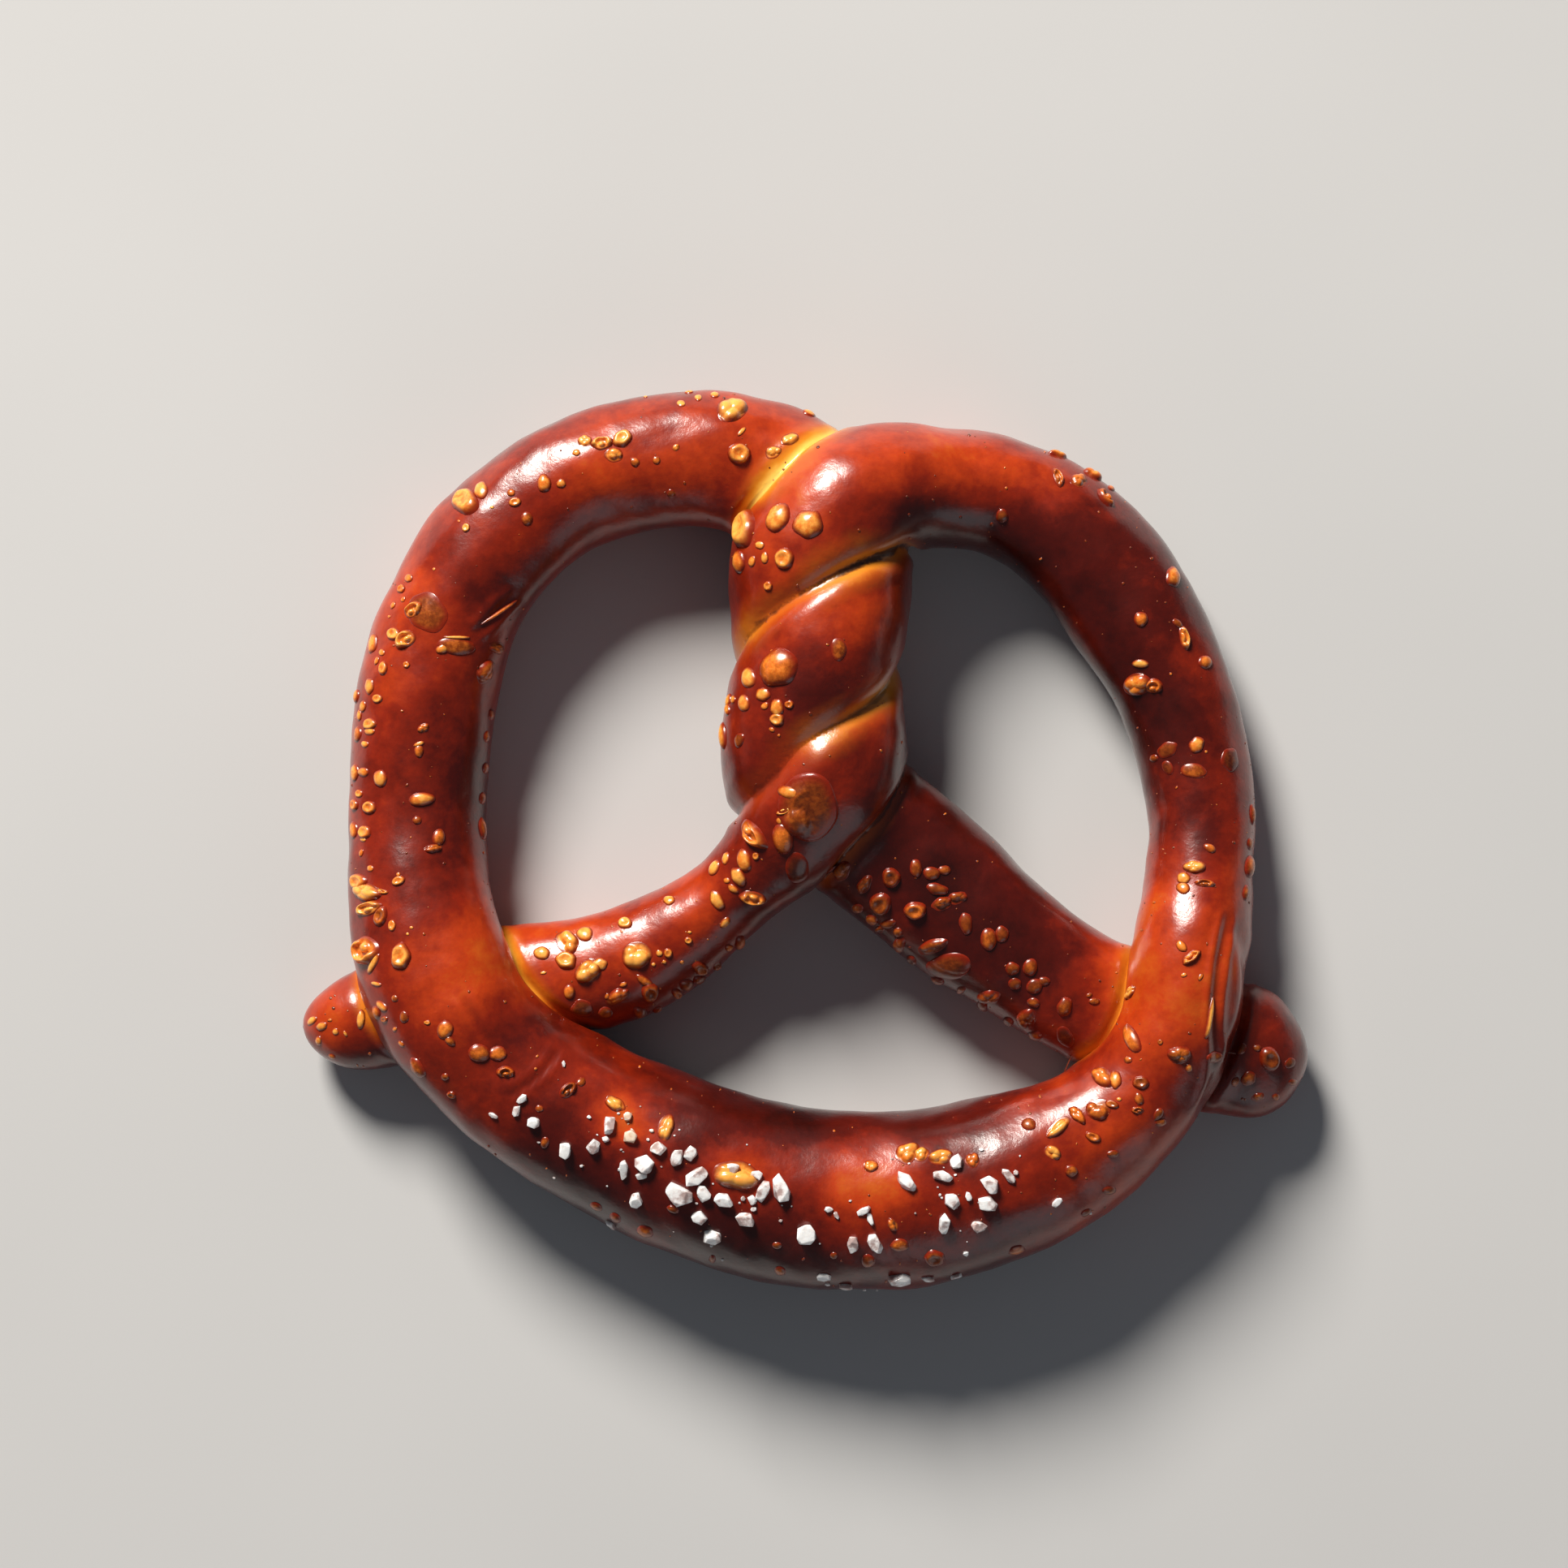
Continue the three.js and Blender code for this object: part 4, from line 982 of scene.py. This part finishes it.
def crust_material():
    """A glossy lye crust: mottled mahogany, ember red where it thins, gold along the seams, with patches of
    painted light and painted shade, and painted shade in seam lines and creases.
    """
    n = Nodes("glazed_crust")
    clouds = n.noise(24.0, 4.0, 0.55, 0.6)
    mottle = n.noise(120.0, 4.0, 0.6, 0.3)
    grain = n.noise(620.0, 3.0, 0.6)
    tone = n.plus(n.times(clouds, 0.55), n.times(mottle, 0.32))
    tone = n.plus(tone, n.times(grain, 0.13))
    # The tone takes in the patches of browning and of painted light and painted shade.
    tone = n.plus(tone, n.times(n.value("browning_and_painted_light"), 0.26))
    colour = n.ramp(tone, [(0.22, BURNT_AND_SHADE), (0.40, MAHOGANY), (0.52, RUSSET), (0.64, EMBER), (0.80, AMBER)])
    gold = n.value("gold")
    seam = n.plus(n.value("seam"), n.between(mottle, 0.3, 0.7, -0.35, 0.35))
    reach = n.maths("MULTIPLY_ADD", gold, 3.4, 0.9)
    away = n.maths("DIVIDE", seam, reach)
    glow = n.times(n.between(away, 1.0, 0.15), n.between(gold, 0.0, 0.7))
    colour = n.mix(glow, colour, n.mix(n.between(gold, 0.2, 0.8), EMBER, AMBER))
    band = n.times(n.between(away, 0.62, 0.22), n.between(gold, 0.4, 0.9))
    colour = n.mix(band, colour, GOLD)
    pale = n.times(n.between(away, 0.36, 0.10), n.between(gold, 0.6, 1.0))
    colour = n.mix(pale, colour, STRAW)
    # Painted shade: the line of each seam is darkened to the darkest crust colour, as if shaded in its
    # groove.
    colour = n.mix(n.times(n.between(seam, 0.45, 0.1), n.value("seam_shade")), colour, BURNT_AND_SHADE)
    # Painted shade in the creases.
    colour = n.mix(n.value("crease"), colour, BURNT_AND_SHADE)
    base = n.value("base")
    colour = n.mix(n.times(base, 0.8), colour, UNDERSIDE)
    skin = n.bump(n.noise(1000.0, 3.0, 0.6), 0.16, 0.0003)
    skin = n.bump(n.noise(230.0, 3.0, 0.5), 0.16, 0.0008, skin)
    skin = n.bump(n.between(n.spots(430.0), 0.0, 0.18), 0.12, 0.0002, skin)
    roughness = n.between(mottle, 0.3, 0.7, 0.28, 0.42)
    roughness = n.maths("MULTIPLY_ADD", base, 0.25, roughness)
    return n.finish(base_color=colour, roughness=roughness, normal=skin, coat_weight=1.0,
                    coat_roughness=0.24, coat_ior=1.53, specular_ior_level=0.1,
                    subsurface_weight=0.08, subsurface_radius=(1.0, 0.22, 0.05), subsurface_scale=0.0016,
                    coat_normal=n.bump(n.noise(440.0, 5.0, 0.62), 0.2, 0.0005))


def blister_material():
    """Blistered skin, thin and amber to gold, darkening into the crust round its foot."""
    n = Nodes("blistered_crust")
    speckle = n.noise(1000.0, 3.0, 0.65)
    # The blisters' paleness also carries painted shade, darker on the right arm.
    tone = n.plus(n.value("tone"), n.between(speckle, 0.35, 0.65, -0.12, 0.12))
    tone = n.plus(tone, n.between(n.value("height"), 0.3, 1.0, -0.12, 0.06))
    foot = n.between(n.value("edge"), 0.55, 0.97)
    colour = n.mix(foot, n.ramp(tone, BLISTER_TONES), RUSSET)
    skin = n.bump(speckle, 0.25, 0.0003)
    skin = n.bump(n.noise(400.0, 2.0), 0.35, 0.0006, skin)
    return n.finish(base_color=colour, roughness=n.between(speckle, 0.3, 0.7, 0.28, 0.40), normal=skin,
                    coat_weight=0.9, coat_roughness=0.22, coat_ior=1.5, specular_ior_level=0.2,
                    subsurface_weight=0.2, subsurface_radius=(1.0, 0.35, 0.08), subsurface_scale=0.0012)


def salt_material():
    """Coarse salt: white, with cloudy patches that let the crust glow in, and a painted amber glow on the
    grains near the lit crust.
    """
    n = Nodes("coarse_salt")
    cloud = n.noise(420.0, 3.0, 0.6)
    # Painted glow: grains near the lit crust turn cloudier and amber.
    cloud = n.maths("MULTIPLY_ADD", n.value("painted_glow"), -0.10, cloud)
    tint = n.between(n.value("painted_glow"), 0.35, 0.9, 0.0, 0.75)
    colour = n.mix(tint, n.ramp(cloud, SALT_TONES), PAINTED_GLOW_TINT)
    skin = n.bump(n.noise(1300.0, 2.0), 0.2, 0.0003)
    skin = n.bump(n.noise(420.0, 2.0), 0.4, 0.0006, skin)
    return n.finish(base_color=colour, roughness=n.between(cloud, 0.35, 0.65, 0.10, 0.34), normal=skin,
                    ior=1.54, specular_ior_level=0.8, subsurface_weight=0.5,
                    subsurface_radius=(1.0, 0.94, 0.90), subsurface_scale=0.0012)


def floor_material():
    """A plain pale grey floor."""
    n = Nodes("pale_floor")
    colour = n.ramp(n.noise(9.0, 2.0), FLOOR_TONES)
    return n.finish(base_color=colour, roughness=1.0, specular_ior_level=0.0)


# ---- the pieces

# Where the crust is paler, above zero, or darker, below it: x, y, reach, amount.
# Some patches are the crust's own browning, such as the golden crust round the left junction.
# Many are painted light and painted shade: a lit band across the middle of the bow, a painted
# shadow along its upper inner edge, a darker lower bow, the shaded right arm and upper right
# loop, and the lit left arm.
BROWNING_AND_PAINTED_LIGHT = [
    (-50.5, -17, 9, 0.65), (-56, -25, 9, 0.5), (-76, -29, 7, 0.6), (-41, -18, 8, 0.4), (24, 61, 12, 0.45),
    (38, 58, 7, 0.4), (48, -22, 7, 0.5), (55, -14, 9, 0.2), (56, -28, 8, 0.35), (-6, 61, 9, 0.4),
    (-60, 54, 14, 0.2), (-26, 62, 12, 0.2), (12, 24, 5, 0.4), (22, -8, 14, -0.7), (10, -2, 8, -0.4),
    (42, -22, 9, -0.3), (-10, -51, 7, 1), (10, -52, 7, 1), (-29, -43.5, 4, 0.8), (0, -66, 12, -0.6),
    (-15, -40, 9, -0.8), (0, -42, 9, -0.9), (14, -43, 9, -0.9), (27, -40, 8, -0.5), (34, -17, 9, -0.6),
    (-34, -55, 9, -0.8), (-41, -47, 7, -0.6), (-14, -61, 9, -0.5), (30, -64, 12, -0.4), (22, 49, 7, -0.8),
    (36, 46, 8, -0.7), (48, 36, 10, -0.8), (55, 18, 10, -0.7), (64, 1, 8, -0.6), (-30, -14.5, 7, 0.7),
    (-19, -8, 6, 0.5), (72, -34, 9, -0.5), (62, -38, 8, -0.4), (-50, 40, 8, -0.3), (-56, 12, 12, -0.4),
    (2, 24, 6, -0.5), (12, 50, 8, -0.5),
]

# How each stretch of seam looks: x, y, how golden, and how dark the painted shade in its line.
SEAMS = [
    (3.6, 65.8, 1, 0.1), (-4.1, 57.4, 1, 0.2), (-11.2, 48.4, 0.6, 0.4), (-11.2, 31.6, 0.6, 0.4),
    (-4.1, 36.8, 0.5, 0.8), (7.5, 41.9, 0.65, 0.9), (17.8, 44.5, 0.6, 0.9), (-4.1, 9, 0.3, 0.4),
    (5, 16.5, 0.6, 0.4), (15.2, 23.9, 0.7, 0.5), (4.9, -4.5, 0.5, 0.7), (15.2, 9.7, 0.4, 0.8),
    (-47.4, -14.8, 0.9, 0.5), (-43.5, -22, 0.7, 0.8), (-40.3, -31.6, 0.3, 1), (-70, -26, 0.6, 0.4),
    (-63, -37, 0.1, 0.7), (50.7, -23.2, 0.65, 0.4), (44.9, -35.5, 0.55, 0.8), (70, -22, 0.2, 0.5),
    (66, -42, 0.1, 0.7),
]


def seam_looks(points):
    """How golden the nearest seam is and how dark the painted shade in its line, blended between its
    stretches.
    """
    rows = np.array(SEAMS)
    away = np.linalg.norm(points[:, None, :2] - rows[None, :, :2], axis=2)
    share = 1 / (away + 0.5) ** 3
    share /= share.sum(axis=1, keepdims=True)
    return share @ rows[:, 2], share @ rows[:, 3]


def colour_body(body, seam_away):
    """Keeps for each point of the crust what its browning follows from, with its painted light and painted
    shade.
    """
    mesh = body.data
    points = read_points(mesh)
    gold, seam_shade = seam_looks(points)
    # Patches of browning, and of painted light and painted shade.
    browning_and_painted_light = np.zeros(len(points))
    for x, y, reach, amount in BROWNING_AND_PAINTED_LIGHT:
        browning_and_painted_light += amount * nearness(points, x, y, reach)
    # Painted shade: each crease darkens with its depth.
    crease = np.zeros(len(points))
    for line, depth, width, _ in CREASES:
        away, fade = line_distance(points, rounded(line))
        dark = depth * CREASE_SHADE * fade * bell(away, 0, CREASE_SHADE_WIDTH * width)
        crease = np.maximum(crease, dark)
    crease *= smooth_step(*UPPER_CRUST, points[:, 2])
    base = smooth_step(0.9, 0.1, points[:, 2])
    set_values(mesh, {"seam": seam_away, "gold": gold, "seam_shade": seam_shade, "browning_and_painted_light": browning_and_painted_light,
                      "crease": np.clip(crease, 0, 1), "base": base})
    mesh.shade_smooth()


def dress(piece, material):
    """Gives a piece its material and has it stand for the solid."""
    piece.data.materials.clear()
    piece.data.materials.append(material)
    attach(piece, "root")
    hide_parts("pretzel")


body, seam_away = build_body()
colour_body(body, seam_away)
tree = tree_of(read_points(body.data), [tuple(p.vertices) for p in body.data.polygons])
dress(body, crust_material())
dress(build_blisters(tree, Draw(BLISTER_SEED)), blister_material())
dress(build_salt(tree, Draw(SALT_SEED)), salt_material())


# ---- floor, light and camera

LIT_POINT = Vector((0, 0, 0.01))
FLOOR_HALF = 3  # metres


def area_light(name, place, size, power, colour):
    """A round soft light that shines on the pretzel."""
    lamp = bpy.data.lights.new(name, "AREA")
    lamp.shape = "DISK"
    lamp.size, lamp.energy, lamp.color = size, power, colour
    thing = make_object(name, lamp)
    thing.location = place
    thing.rotation_euler = (LIT_POINT - thing.location).to_track_quat("-Z", "Y").to_euler()


floor_mesh = bpy.data.meshes.new("floor")
floor_corners = [(x * FLOOR_HALF, y * FLOOR_HALF, 0) for x, y in ((-1, -1), (1, -1), (1, 1), (-1, 1))]
floor_mesh.from_pydata(floor_corners, [], [(0, 1, 2, 3)])
floor = make_object("floor", floor_mesh)
floor.data.materials.append(floor_material())

area_light("key", (-0.86, 1.83, 1.31), 0.82, 108.0, (1.0, 0.95, 0.88))
area_light("fill", (0.55, -1.15, 0.50), 1.0, 1.6, (0.95, 0.96, 1.0))
world = bpy.data.worlds.new("studio")
world.use_nodes = True
sky = world.node_tree.nodes["Background"].inputs
sky["Color"].default_value = (0.72, 0.80, 0.92, 1)
sky["Strength"].default_value = 0.09
bpy.context.scene.world = world
bpy.context.scene.view_settings.view_transform = "Standard"

# The long lens looks straight down on the pretzel, with its upper loops up in the picture.
CAMERA_X, CAMERA_Y, CAMERA_HEIGHT = -3.4 * MM, 8.9 * MM, 0.80
FOCUS_HEIGHT = 11 * MM  # the height at which the frame's width is measured
FRAME_WIDTH = 249.3 * MM
SENSOR_WIDTH = 36.0
lens = bpy.data.cameras.new("camera")
lens.sensor_width = SENSOR_WIDTH
lens.lens = SENSOR_WIDTH * (CAMERA_HEIGHT - FOCUS_HEIGHT) / FRAME_WIDTH
camera = make_object("camera", lens)
camera.location = (CAMERA_X, CAMERA_Y, CAMERA_HEIGHT)
bpy.context.scene.camera = camera
